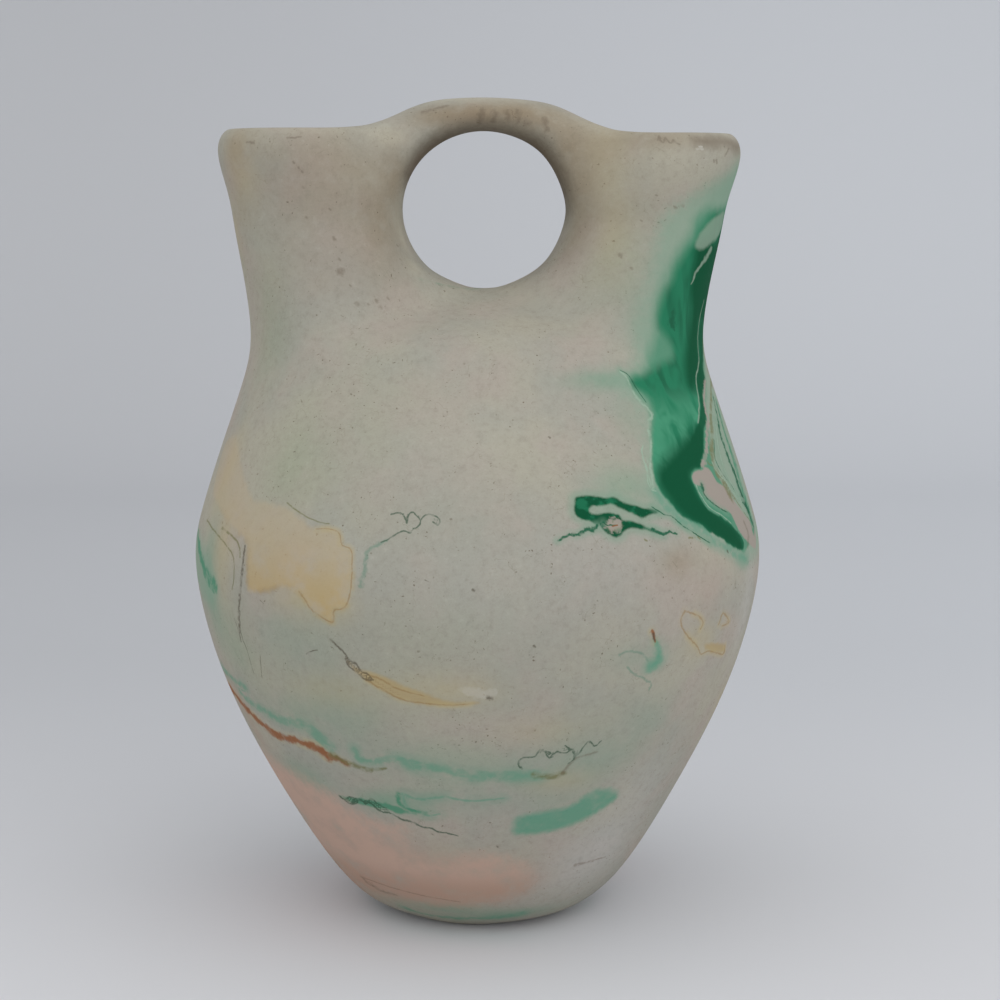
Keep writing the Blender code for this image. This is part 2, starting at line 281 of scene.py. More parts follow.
def body_rings(cage):
    rings = [
        body_ring(cage, -FOOT_GRIND, FOOT_WIDTH, FOOT_WIDTH, ROUND),
        body_ring(cage, HEEL_HEIGHT, HEEL_WIDTH, HEEL_WIDTH, ROUND),
    ]
    for share in LOWER_RINGS + (1.0,):
        narrowing = (BELLY_WIDTH - LOWER_WALL_WIDTH) * (1 - share) ** LOWER_WALL_CURVE
        width = BELLY_WIDTH - narrowing
        rings.append(body_ring(cage, BELLY_HEIGHT * share, width, width, ROUND))
    for share in UPPER_RINGS + (1.0,):
        height = between(BELLY_HEIGHT, WAIST_HEIGHT, share)
        width = between(BELLY_WIDTH, WAIST_WIDTH, ease(share**SHOULDER_CURVE))
        squareness = between(ROUND, WAIST_SQUARENESS, share)
        rings.append(body_ring(cage, height, width, depth_at(height), squareness))
    return rings


def close_foot(cage, ring):
    corner = [cage.points[ring[i]] for i in (1, 4, 7, 10)]
    middle = sum(corner) / 4
    inner = [cage.add(between(middle, place, 1 / 3)) for place in corner]
    for i in range(4):
        start = 1 + 3 * i
        outer = [ring[(start + step) % BODY_POINTS] for step in range(-1, 3)]
        following = inner[(i + 1) % 4]
        cage.faces.append((outer[2], outer[1], outer[0], inner[i]))
        cage.faces.append((outer[3], outer[2], inner[i], following))
    cage.faces.append(tuple(reversed(inner)))


print(len(body_rings(Cage())), "rings from the foot to the waist")

# %% [markdown]
# The fork is the hard part. Three columns of points make the saddle under the hole, and each spout
# is a stack of rings whose inner side follows the hole's edge.

# %% Saddle and spouts
def spout_ring(cage, side, height, outer, inner, depth):
    start = math.radians(270 if side > 0 else 90)
    beside_hole = tuple(HOLE_SIDE_ANGLE + turn * HOLE_SIDE_SPREAD for turn in (-1, 0, 1))
    centre = side * (outer + inner) / 2
    return [
        cage.add(oval_point(centre, outer - inner, depth, height, start + angle))
        for angle in OUTSIDE_ANGLES + beside_hole
    ]


def saddle_column(cage, offset):
    height = saddle_height(offset) - (SADDLE_SIDE_DIP if offset else 0)
    x = HOLE_SHIFT + offset
    return [
        cage.add((x, -SADDLE_DEPTH / 2, height - SADDLE_CROWN)),
        cage.add((x, 0, height)),
        cage.add((x, SADDLE_DEPTH / 2, height - SADDLE_CROWN)),
    ]


def spout_rings(cage, side):
    rim = RIM_HEIGHT - (RIGHT_RIM_DROP if side > 0 else 0)
    lip_foot = rim - LIP_ROUNDING
    heights = [HOLE_MIDDLE + HOLE_HEIGHT / 2 * math.sin(angle) for angle in HOLE_RING_ANGLES]
    heights.append(lip_foot - HANDLE_ROOT_HEIGHT)
    edges = [(height, side * HOLE_SHIFT + hole_half_width(height)) for height in heights]
    edges.append((lip_foot, side * HANDLE_SHIFT + RIM_SPAN / 2 - MOUTH_WIDTH))
    mouth_outer = RIM_SPAN / 2 + side * SPOUT_LEAN
    rings = []
    for height, inner in edges:
        climb = (height - WAIST_HEIGHT) / (lip_foot - WAIST_HEIGHT)
        outer = between(WAIST_WIDTH / 2, mouth_outer, climb**SPOUT_FLARE_CURVE)
        rings.append(spout_ring(cage, side, height, outer, inner, depth_at(height)))
    lifts = (HANDLE_SHOULDER_LIFT, HANDLE_ROOT_LIFT, HANDLE_SHOULDER_LIFT)
    for corner, lift in zip(rings[-1][5:], lifts):
        cage.points[corner][2] += lift
    return rings, rim


print("the saddle rises", round((saddle_height(SADDLE_LENGTH / 2) - SADDLE_HEIGHT) / MM, 2), "mm at its ends")

# %% [markdown]
# Now belly, saddle and spouts are joined. The waist ring is shared out: five of its points and three
# saddle points go round each spout, and the rest close the front and the back of the saddle.

# %% Outer skin
def outer_skin(cage):
    rings = body_rings(cage)
    close_foot(cage, rings[0])
    for lower, upper in zip(rings, rings[1:]):
        cage.band(lower, upper)
    waist = rings[-1]
    columns = [
        saddle_column(cage, offset) for offset in (-SADDLE_LENGTH / 2, 0, SADDLE_LENGTH / 2)
    ]
    left, _, right = columns
    fronts = waist[8:11]
    backs = [waist[4], waist[3], waist[2]]
    strips = [[fronts[i]] + columns[i] + [backs[i]] for i in range(3)]
    for near, far in zip(strips, strips[1:]):
        for i in range(4):
            cage.faces.append((near[i], far[i], far[i + 1], near[i + 1]))
    left_loop = waist[4:9] + left
    right_loop = waist[10:] + waist[:3] + right[::-1]
    mouths = []
    for side, loop in ((-1, left_loop), (1, right_loop)):
        spout, rim = spout_rings(cage, side)
        for lower, upper in zip([loop] + spout, spout):
            cage.band(lower, upper)
        mouths.append((spout[-2], spout[-1], rim))
    return rings, mouths


trial = Cage()
outer_skin(trial)
print("the outer skin takes", len(trial.points), "points")

# %% [markdown]
# The inner skin is the outer one moved inwards by the wall's thickness and turned inside out. Lips
# join the two with a rounded crest.

# %% Inner skin and lips
def add_inner_skin(cage, rings):
    facing = cage.normals()
    count = len(cage.points)
    thickness = np.full(count, WALL)
    thickness[rings[0]] = FLOOR_THICKNESS + FOOT_GRIND
    thickness[rings[1]] = FLOOR_THICKNESS
    for corner in range(count):
        if cage.points[corner][2] < 0:
            thickness[corner] = FLOOR_THICKNESS + FOOT_GRIND
    for corner in range(count):
        cage.add(cage.points[corner] - thickness[corner] * facing[corner])
    for face in list(cage.faces):
        cage.faces.append(tuple(corner + count for corner in reversed(face)))
    return count


def lip_ring(cage, ring, rim):
    places = [cage.points[i] for i in ring]
    middle = sum(places) / len(places)
    crest = []
    for place in places:
        towards = middle - place
        towards[2] = 0
        inset = towards / np.linalg.norm(towards) * LIP_CREST_INSET
        crest.append(cage.add((place[0] + inset[0], place[1] + inset[1], rim)))
    return crest


def add_lips(cage, mouths, inner_start):
    for _, top, rim in mouths:
        crest = lip_ring(cage, top, rim)
        inside = [corner + inner_start for corner in top]
        for corner, outside, high in zip(inside, top, crest):
            towards = cage.points[high] - cage.points[outside]
            cage.points[corner] = cage.points[outside] + towards * WALL / LIP_CREST_INSET
            cage.points[corner][2] = rim - LIP_ROUNDING
        cage.band(top, crest)
        cage.band(crest, inside)


print("a lip is", round(LIP_ROUNDING / MM, 1), "mm high over a wall of", round(WALL / MM, 1), "mm")

# %% [markdown]
# The handle is a bridge of six-sided stations between faces that are opened on the spouts' inner
# sides. Its underside follows the hole's edge, and its top follows the arch.

# %% Handle
def handle_station(cage, share):
    angle = between(math.pi - HANDLE_START, HANDLE_START, share)
    under = np.array((
        HOLE_SHIFT + HOLE_WIDTH / 2 * math.cos(angle),
        0,
        HOLE_MIDDLE + HOLE_HEIGHT / 2 * math.sin(angle),
    ))
    span = RIM_SPAN / 2 - MOUTH_WIDTH
    offset = between(-span, span, share)
    over = np.array((HANDLE_SHIFT + offset, 0, arch_height(offset)))
    middle = (under + over) / 2
    rise = (over - under) / 2
    front = np.array((0, -HANDLE_DEPTH / 2, 0))
    return [
        cage.add(middle + rise * math.sin(angle) + front * math.cos(angle))
        for angle in SECTION_ANGLES
    ]


def add_handle(cage, mouths):
    (left_low, left_top, _), (right_low, right_top, _) = mouths
    opened = set()
    for low, top in ((left_low, left_top), (right_low, right_top)):
        for i in (5, 6):
            opened.add(frozenset((low[i], low[i + 1], top[i], top[i + 1])))
    cage.faces = [face for face in cage.faces if frozenset(face) not in opened]
    stations = [[left_low[5], left_top[5], left_top[6], left_top[7], left_low[7], left_low[6]]]
    for i in range(HANDLE_STATIONS):
        stations.append(handle_station(cage, (i + 1) / (HANDLE_STATIONS + 1)))
    stations.append(
        [right_low[7], right_top[7], right_top[6], right_top[5], right_low[5], right_low[6]]
    )
    for start, end in zip(stations, stations[1:]):
        cage.band(end, start)


print("the handle is", round((arch_height(0) - HOLE_TOP) / MM, 1), "mm thick over the hole")

# %% [markdown]
# A subdivided cage shrinks away from its points. Moving each point by what it misses, some rounds
# over, makes the smooth surface pass through the places that were wanted.

# %% Fit the cage
def smooth_places(points, corners):
    """Where each point lands on the smooth surface of a closed cage of four-sided faces."""
    faces_round = np.zeros(len(points))
    neighbours = np.zeros_like(points)
    opposites = np.zeros_like(points)
    for i in range(4):
        corner = corners[:, i]
        np.add.at(faces_round, corner, 1)
        np.add.at(neighbours, corner, points[corners[:, (i + 1) % 4]] / 2)
        np.add.at(neighbours, corner, points[corners[:, (i + 3) % 4]] / 2)
        np.add.at(opposites, corner, points[corners[:, (i + 2) % 4]])
    n = faces_round[:, None]
    return (n * n * points + 4 * neighbours + opposites) / (n * (n + 5))


def fitted(cage):
    wanted = np.array(cage.points)
    corners = np.array(cage.faces)
    points = wanted.copy()
    for _ in range(FITTING_ROUNDS):
        points += wanted - smooth_places(points, corners)
    return points


cage = Cage()
belly_rings, mouths = outer_skin(cage)
inner_start = add_inner_skin(cage, belly_rings)
add_lips(cage, mouths, inner_start)
add_handle(cage, mouths)
print("cage of", len(cage.points), "points and", len(cage.faces), "faces")

# %% [markdown]
# The smooth skin comes from a Subdivision Surface modifier. Two evaluations of it are kept: one that
# becomes the clay, and a finer one that only guides, so that every point added later lies truly on
# the smooth form. A value on the cage's points tells outside from inside, and it blends over the lip.

# %% Smooth skin
SKIN_LEVELS = 3
GUIDE_LEVELS = 5


def subdivided(mesh, levels):
    """Copy of a mesh after its Subdivision Surface modifier."""
    shape = bpy.data.objects.new("cage", mesh)
    bpy.context.scene.collection.objects.link(shape)
    modifier = shape.modifiers.new("smooth clay", "SUBSURF")
    modifier.levels = levels
    result = bpy.data.meshes.new_from_object(shape.evaluated_get(bpy.context.evaluated_depsgraph_get()))
    bpy.data.objects.remove(shape)
    return result


def points_of(mesh):
    places = np.empty(len(mesh.vertices) * 3)
    mesh.vertices.foreach_get("co", places)
    return places.reshape(-1, 3)


cage_mesh = bpy.data.meshes.new("clay_cage")
cage_mesh.from_pydata(fitted(cage).tolist(), [], cage.faces)
insideness = cage_mesh.attributes.new("inside", "FLOAT", "POINT")
on_inner_skin = [inner_start <= i < 2 * inner_start for i in range(len(cage.points))]
insideness.data.foreach_set("value", np.array(on_inner_skin, dtype=np.float32))
skin = subdivided(cage_mesh, SKIN_LEVELS)
guide = subdivided(cage_mesh, GUIDE_LEVELS)
print("skin of", len(skin.polygons), "faces, guide of", len(guide.polygons))

# %% [markdown]
# Painting needs two answers: which spot of clay does a pixel of the photograph show, and where on
# the clay is a given turn and height? Both are rays shot at the guide. A place on the vase is written
# as a turn in degrees, 0 at the front and 90 at the right, and a height in millimetres.

# %% Places on the clay
RAY_START = 0.15
EDGE_TRIES = 30
FRONT_OF_CAMERA = -1

guide_points = points_of(guide)
guide_tree = BVHTree.FromPolygons(guide_points.tolist(), [tuple(face.vertices) for face in guide.polygons])
pixel = SENSOR_WIDTH / (PICTURE_SIZE * CAMERA_LENS)
camera_turned = camera.matrix_world.to_3x3()


def spot(x, y):
    """Clay that a pixel of the photograph shows, or the nearest clay towards the vase's axis."""
    step = 1 if x < VASE_AXIS_PX else -1
    for nudge in range(EDGE_TRIES):
        across = (x + step * nudge - VASE_AXIS_PX) * pixel
        up = (PICTURE_SIZE / 2 - y) * pixel
        direction = camera_turned @ Vector((across, up, FRONT_OF_CAMERA))
        place = guide_tree.ray_cast(camera.location, direction.normalized())[0]
        if place is not None:
            return place
    raise ValueError(f"no clay near pixel {x}, {y}")


def turn_and_height(place):
    return math.degrees(math.atan2(place.x, -place.y)), place.z / MM


def photo(*pixels):
    return [turn_and_height(spot(x, y)) for x, y in pixels]


def on_clay(turn, height):
    """Spot on the outside of the clay at a turn and a height."""
    outwards = Vector((math.sin(math.radians(turn)), -math.cos(math.radians(turn)), 0))
    start = outwards * RAY_START + Vector((0, 0, height * MM))
    place = guide_tree.ray_cast(start, -outwards)[0]
    return place if place is not None else Vector((0, 0, height * MM))


print("the picture's middle shows turn and height", [round(part, 1) for part in photo((500, 500))[0]])

# %% [markdown]
# Paint marks are of three kinds. A thread is a line with a width, a patch is the area inside a closed
# outline, and a dab is a soft touch of colour. Threads and outlines run smoothly through a few
# given places, either pixels of the photograph or turns and heights on the clay.

# %% Threads, patches and dabs
CURVE_STEP = 0.35
MM_PER_PIXEL = (0.26, 0.26)
MM_PER_TURN_AND_HEIGHT = (1.2, 1.0)

marks = []
dabs = []


def smooth_run(places, scale, closed=False):
    """Catmull-Rom curve through the places, in steps of about CURVE_STEP millimetres."""
    places = np.array(places, dtype=float)
    if closed:
        ring = np.vstack([places[-1:], places, places[:2]])
    else:
        ring = np.vstack([2 * places[:1] - places[1:2], places, 2 * places[-1:] - places[-2:-1]])
    run = []
    for before, start, end, after in zip(ring, ring[1:], ring[2:], ring[3:]):
        steps = max(1, math.ceil(math.hypot(*((end - start) * scale)) / CURVE_STEP))
        for i in range(steps):
            t = i / steps
            run.append(
                (2 * start + (end - before) * t + (2 * before - 5 * start + 4 * end - after) * t * t
                 + (3 * start - before - 3 * end + after) * t**3) / 2
            )
    if not closed:
        run.append(places[-1])
    return np.array(run)


def add_line(field, spots, start_width, end_width):
    """A painted line along spots of clay, with its width in millimetres at both ends."""
    half_widths = np.linspace(start_width, end_width, len(spots)) / 2
    marks.append((field, None, np.array(spots) / MM, half_widths))


def photo_thread(field, pixels, start_width, end_width):
    """A painted line through pixels of the photograph."""
    add_line(field, [spot(x, y) for x, y in smooth_run(pixels, MM_PER_PIXEL)], start_width, end_width)


def photo_threads(field, lines, start_width, end_width):
    for pixels in lines:
        photo_thread(field, pixels, start_width, end_width)


def thread(field, places, start_width, end_width):
    """A painted line through turns and heights."""
    run = smooth_run(places, MM_PER_TURN_AND_HEIGHT)
    add_line(field, [on_clay(*place) for place in run], start_width, end_width)


def patch(field, places):
    """A painted area inside a closed outline of turns and heights."""
    outline = smooth_run(places, MM_PER_TURN_AND_HEIGHT, closed=True)
    curve = np.array([on_clay(*place) for place in outline]) / MM
    marks.append((field, outline, curve, np.zeros(len(curve))))


def photo_patch(field, pixels, hidden=()):
    """A patch outlined by pixels, and by turns and heights where it runs out of the photograph."""
    patch(field, photo(*pixels) + list(hidden))


def dab(field, place, across, up, strength):
    """A soft touch of colour round a spot, with its half sizes in millimetres."""
    dabs.append((field, np.array(place) / MM, across, up, strength))


print("a line of 10 mm gets", len(smooth_run(((0, 0), (10, 0)), (1, 1))), "points")

# %% [markdown]
# The strongest colour is a pour of green glaze that ran down the right side. It lies in nested
# layers, each darker and smaller than the last. The photograph shows the near half of each layer, and
# the far half is guessed to run on round the side by about three centimetres.

# %% The green pour
PALE_GREEN_NEAR = (
    (729, 176), (716, 184), (700, 192), (684, 201), (670, 212), (659, 232), (652, 262), (646, 292),
    (642, 318), (640, 345), (632, 366), (618, 378), (622, 392), (634, 404), (644, 420), (645, 450),
    (647, 478), (655, 498), (668, 508), (684, 522), (702, 534), (722, 545), (745, 556), (756, 556),
)
PALE_GREEN_FAR = (
    (90, 104), (98, 114), (103, 127), (108, 140), (111, 153), (114, 165), (114, 175), (112, 184),
    (107, 192), (100, 196), (93, 194),
)
photo_patch("pale_green", PALE_GREEN_NEAR, PALE_GREEN_FAR)
MID_GREEN_NEAR = (
    (722, 207), (708, 210), (696, 218), (691, 233), (682, 247), (671, 265), (663, 285), (657, 305),
    (653, 335), (648, 358), (641, 372), (630, 379), (636, 392), (647, 407), (651, 424), (652, 450),
    (654, 476), (662, 495), (676, 509), (691, 521), (708, 531), (724, 541), (743, 552), (750, 540),
    (744, 520), (732, 500), (722, 484), (712, 462), (709, 430), (706, 400), (704, 366), (705, 335),
)
MID_GREEN_FAR = (
    (92, 148), (96, 143), (98, 136), (101, 144), (103, 157), (108, 163), (111, 172), (111, 182), (108, 189),
    (104, 186), (99, 190), (93, 187),
)
photo_patch("mid_green", MID_GREEN_NEAR, MID_GREEN_FAR)
print(len(marks), "outer layers of the pour")

# %% [markdown]
# The inner layers carry the colour: a strong green, and in it the deep green that ran to the lowest
# point and pooled there. A dark margin, a pale lobe and an island of bare clay finish the pour.

# %% The heart of the pour
STRONG_GREEN_NEAR = (
    (724, 211), (714, 213), (706, 222), (699, 231), (696, 242), (689, 249), (682, 259), (676, 270),
    (673, 279), (666, 290), (661, 304), (658, 317), (659, 327), (665, 335), (672, 347), (672, 358),
    (660, 364), (652, 370), (640, 377), (631, 380), (634, 387), (645, 393), (652, 402), (654, 414),
    (652, 430), (652, 458), (653, 474), (658, 485), (663, 495), (670, 501), (676, 509), (683, 516),
    (691, 521), (702, 524), (708, 531), (723, 539), (740, 550), (744, 543), (738, 532), (729, 523),
    (716, 514), (708, 509), (703, 502), (697, 491), (692, 480), (693, 472), (700, 467), (702, 457),
    (703, 444), (704, 429), (706, 424), (706, 416), (705, 407), (703, 399), (703, 391), (705, 380),
    (703, 368), (703, 345), (704, 328),
)
STRONG_GREEN_FAR = (
    (90, 151), (94, 149), (97, 142), (99, 151), (101, 162), (106, 168), (108, 177), (107, 185), (103, 179),
    (98, 180), (92, 183),
)
photo_patch("strong_green", STRONG_GREEN_NEAR, STRONG_GREEN_FAR)
DEEP_GREEN_NEAR = (
    (716, 246), (706, 247), (699, 249), (697, 262), (694, 276), (693, 292), (694, 310), (692, 330),
    (689, 350), (688, 370), (691, 386), (696, 376), (698, 362), (697, 333), (699, 317),
)
DEEP_GREEN_FAR = (
    (87, 153), (91, 155), (94, 149), (96, 158), (98, 166), (102, 172), (104, 180), (99, 175), (94, 170),
    (90, 175), (87, 177),
)
photo_patch("deep_green", DEEP_GREEN_NEAR, DEEP_GREEN_FAR)
DEEP_POOL = (
    (660, 474), (666, 466), (675, 456), (685, 446), (694, 437), (700, 432), (702, 452), (699, 466),
    (692, 471), (690, 480), (697, 497),
    (705, 506), (722, 521), (733, 530), (741, 543), (740, 549), (726, 540), (714, 533), (704, 524),
    (692, 518), (682, 510), (672, 498), (664, 487),
)
DARK_MARGIN = (
    (701, 322), (699, 338), (700, 352), (700, 360), (699, 368), (697, 380), (699, 394), (700, 403),
    (700, 412), (698, 423), (694, 433), (691, 443), (693, 455), (702, 457), (703, 444), (704, 429),
    (706, 424), (706, 416), (705, 407), (703, 399), (703, 391), (705, 380), (703, 368), (703, 350),
    (703, 332),
)
PALE_LOBE = (
    (724, 212), (714, 218), (706, 226), (700, 234), (696, 242), (696, 248), (703, 249), (711, 243),
    (717, 238), (722, 225),
)
PINK_ISLAND = (
    (702, 470), (706, 467), (712, 473), (717, 482), (725, 487), (730, 495), (735, 502), (744, 514),
    (751, 523), (754, 527), (756, 538), (755, 549), (747, 541), (741, 534), (736, 524), (731, 514),
    (725, 510), (718, 507), (712, 502), (704, 495), (702, 487), (695, 484), (692, 477), (695, 471),
)
photo_patch("deep_green", DEEP_POOL)
photo_patch("margin", DARK_MARGIN)
photo_patch("lobe", PALE_LOBE)
photo_patch("bare", PINK_ISLAND)
print(len(marks), "layers and islands of the pour")

# %% [markdown]
# Where wet colours meet they push each other into hair-fine threads. These frame the pour: a resist
# line where bare clay shows, dark pooled edges and pale creamy rims.

# %% Threads of the pour
RESIST_LINE = (
    (704, 300), (700, 317), (698, 333), (698, 347), (699, 360), (698, 368), (696, 380), (698, 394),
    (699, 403), (699, 412), (698, 423),
)
PALE_SLIVER = ((711, 249), (706, 258), (701, 265), (696, 272), (693, 281), (691, 284))
LEFT_RIBBON = (
    (620, 371), (626, 377), (632, 390), (639, 400), (649, 410), (652, 415), (649, 424), (650, 439),
)
LEFT_RIBBON_SHADE = ((620, 370), (629, 376), (636, 388), (646, 402))
INNER_CREAM = ((651, 439), (651, 455), (650, 465), (652, 477), (653, 487))
OUTER_CREAM = ((643, 446), (642, 452), (644, 461), (647, 472), (648, 482), (652, 490), (656, 491))
LOWER_RIBBON = (
    (655, 492), (662, 500), (668, 507), (675, 514), (683, 521), (693, 526), (701, 530), (708, 536),
    (716, 542), (726, 547), (738, 555), (747, 560),
)
LOWER_SHADE = (
    (652, 507), (660, 512), (665, 515), (671, 516), (676, 520), (683, 526), (691, 531), (700, 537),
    (710, 543),
)
ISLAND_SPOT = ((702, 486), (703, 490))
ISLAND_TAIL = ((703, 490), (704, 494), (708, 499), (714, 504), (721, 509), (727, 512))
ISLAND_UNDER = ((708, 505), (716, 511), (724, 516), (731, 520))
ISLAND_RIM = ((696, 485), (700, 494), (708, 506), (716, 512), (723, 516), (731, 523))
photo_thread("lobe", RESIST_LINE, 0.4, 0.5)
photo_thread("lobe", PALE_SLIVER, 1.7, 0.4)
photo_thread("cream_and_highlight", LEFT_RIBBON, 0.5, 0.9)
photo_thread("dark_green", LEFT_RIBBON_SHADE, 0.3, 0.2)
photo_thread("cream_and_highlight", INNER_CREAM, 0.5, 0.7)
photo_thread("cream_and_highlight", OUTER_CREAM, 0.4, 0.3)
photo_thread("teal", LOWER_RIBBON, 2.2, 1.8)
photo_thread("dark_green", LOWER_SHADE, 0.35, 0.3)
photo_thread("dark_green", ISLAND_SPOT, 1.3, 1.2)
photo_thread("dark_green", ISLAND_TAIL, 0.7, 0.3)
photo_thread("mid_green", ISLAND_UNDER, 0.7, 1.2)
photo_thread("cream_and_highlight", ISLAND_RIM, 0.4, 0.3)
print(len(marks), "marks with the pour's rims")

# %% [markdown]
# Beside the bare island the colours were drawn out into long streaks that run down together. The
# broad ones are listed first, then the hairs between them.

# %% Streaks beside the island
OLIVE_STREAK = (
    (711, 380), (711, 400), (711, 420), (712, 435), (712, 453), (714, 465), (719, 476), (726, 487),
    (732, 499),
)
PALE_STREAK = ((705, 380), (704, 398), (706, 412), (708, 420), (707, 434), (706, 453), (703, 465))
GREEN_STREAK = ((715, 420), (717, 435), (719, 456), (724, 470), (731, 487), (740, 501), (748, 516))
DARK_STREAK = (
    (713, 396), (718, 420), (720, 433), (725, 448), (730, 462), (735, 474), (738, 485), (743, 498),
    (749, 513), (753, 524),
)
MID_STREAK = ((716, 400), (724, 430), (733, 458), (741, 485), (748, 508), (753, 528))
POOL_TIP = ((744, 522), (748, 533), (748, 546))
LIMB_STREAK = ((710, 352), (717, 385), (727, 416), (738, 450), (748, 486), (755, 518))
CREAM_HAIRS = (
    ((723, 416), (729, 437), (738, 465), (744, 482), (750, 503)),
    ((716, 425), (718, 445), (723, 465), (731, 483), (742, 502)),
    ((712, 462), (717, 472), (726, 482), (737, 498), (746, 512)),
)
GREEN_HAIRS = (
    ((716, 402), (722, 424), (729, 445), (737, 466)),
    ((714, 440), (715, 458), (721, 471), (730, 484), (739, 497)),
    ((727, 478), (737, 494), (746, 508), (751, 518)),
)
OLIVE_HAIRS = (
    ((709, 340), (707, 356), (709, 372)),
    ((722, 476), (731, 492), (741, 508), (750, 521)),
    ((707, 460), (709, 464), (713, 466)),
)
GREEN_SPOT = ((674, 312), (672, 320), (672, 325))

photo_thread("olive", OLIVE_STREAK, 1.0, 2.2)
photo_thread("bare", PALE_STREAK, 1.0, 1.6)
photo_thread("lobe", GREEN_STREAK, 2.8, 1.8)
photo_thread("mid_green", MID_STREAK, 1.2, 3.6)
photo_thread("dark_green", DARK_STREAK, 0.8, 2.6)
photo_thread("smudge_and_shadow", POOL_TIP, 0.9, 1.3)
photo_thread("bare", LIMB_STREAK, 1.5, 3.5)
photo_thread("dark_green", GREEN_SPOT, 1.6, 2.6)
photo_threads("cream_and_highlight", CREAM_HAIRS, 0.35, 0.3)
photo_threads("dark_green", GREEN_HAIRS, 0.3, 0.35)
photo_threads("olive", OLIVE_HAIRS, 0.35, 0.4)
print(len(marks), "marks with the pour's threads")

# %% [markdown]
# To the left of the pour a drop ran out sideways and curled back, so it reads as a hook. One patch
# gives its bulb and both arms, a short wide thread leaves the ring of bare clay below its eye, and
# dark threads draw the arms out on both sides.

# %% The hook
HOOK = (
    (575, 498), (582, 496), (590, 496), (599, 497), (607, 498), (612, 497), (618, 499), (625, 503),
    (634, 505), (643, 508), (652, 509), (660, 512), (652, 514), (647, 516), (642, 518), (638, 516),
    (634, 514), (627, 511), (620, 508), (612, 504), (607, 505), (599, 506), (592, 506), (589, 510),
    (592, 514), (598, 514), (605, 513), (612, 513), (619, 515), (623, 520), (632, 521), (641, 524),
    (648, 528), (655, 530), (663, 534), (655, 533), (647, 530), (638, 529), (631, 528), (624, 531),
    (621, 535), (615, 537), (607, 533), (600, 526), (596, 524), (590, 521), (581, 519), (575, 514),
    (574, 508), (575, 502),
)
HOOK_RING = ((611, 525), (616, 525))
RING_LINE = ((603, 522), (607, 525), (612, 525), (618, 525))
RING_HEART = ((612, 526), (617, 525))
HOOK_TAIL = (
    (597, 526), (592, 530), (589, 529), (584, 531), (579, 534), (574, 535), (570, 534), (564, 537),
    (558, 541),
)
HOOK_TIP = ((652, 529), (658, 532), (663, 534), (670, 532), (677, 534))
HOOK_DOTS = (((689, 538), (693, 538)), ((698, 537), (700, 539)), ((645, 540), (647, 541)))
photo_patch("hook", HOOK)
photo_thread("bare", HOOK_RING, 3.2, 3.2)
photo_thread("dark_green", RING_LINE, 0.5, 0.25)
photo_thread("rust", RING_HEART, 0.35, 0.35)
photo_thread("dark_green", HOOK_TAIL, 1.0, 0.5)
photo_thread("dark_green", HOOK_TIP, 0.9, 0.4)
photo_threads("olive", HOOK_DOTS, 0.5, 0.4)
print(len(marks), "marks with the hook")

# %% [markdown]
# The peach stain on the left shoulder dried with a darker edge, as a tea stain does. Its outline is
# drawn once as a patch, and the shader darkens it along that edge. An ochre thread lies on its lower
# right side, two olive ones run down beside its left, and green shows at the vase's left edge.

# %% The peach stain
PEACH_STAIN = (
    (234, 436), (224, 447), (214, 489), (218, 504), (237, 531), (247, 545), (247, 575), (249, 590),
    (260, 592), (272, 589), (287, 587), (299, 592), (310, 608), (323, 617), (333, 622), (334, 610),
    (344, 608), (350, 594), (352, 570), (351, 550), (342, 545), (339, 533), (329, 529), (314, 529),
    (302, 520), (287, 508), (266, 503), (253, 499), (243, 474), (237, 445),
)
PEACH_EDGE = (
    (299, 592), (305, 600), (312, 610), (323, 618), (333, 622), (334, 610), (344, 608), (350, 594),
    (352, 570), (351, 550), (342, 545), (339, 533), (329, 529), (316, 529),
)
OLIVE_EDGE = ((207, 520), (216, 533), (226, 545), (233, 556), (234, 575), (232, 590))
OLIVE_INNER_EDGE = ((222, 528), (231, 535), (239, 545), (240, 557))
GREEN_AT_LEFT = (
    (197, 528), (201, 540), (206, 552), (210, 566), (216, 580), (217, 594), (211, 603), (203, 600),
    (198, 585),
)
GREEN_AROUND_LEFT = ((-94, 84), (-99, 90), (-96, 100))
GREEN_STREAK_LEFT = ((198, 533), (200, 552), (206, 573), (214, 585))
photo_patch("peach", PEACH_STAIN)
photo_thread("ochre", PEACH_EDGE, 0.45, 0.2)
photo_thread("olive", OLIVE_EDGE, 0.5, 0.35)
photo_thread("olive", OLIVE_INNER_EDGE, 0.7, 0.4)
photo_patch("pale_green", GREEN_AT_LEFT, GREEN_AROUND_LEFT)
photo_thread("mid_green", GREEN_STREAK_LEFT, 2.2, 4.0)
print(len(marks), "marks with the stain")

# %% [markdown]
# The lower belly carries bands of teal, ochre and rust that run almost level round the form, because
# the vase turned while the colour ran. The widest ones are patches, the rest are threads.

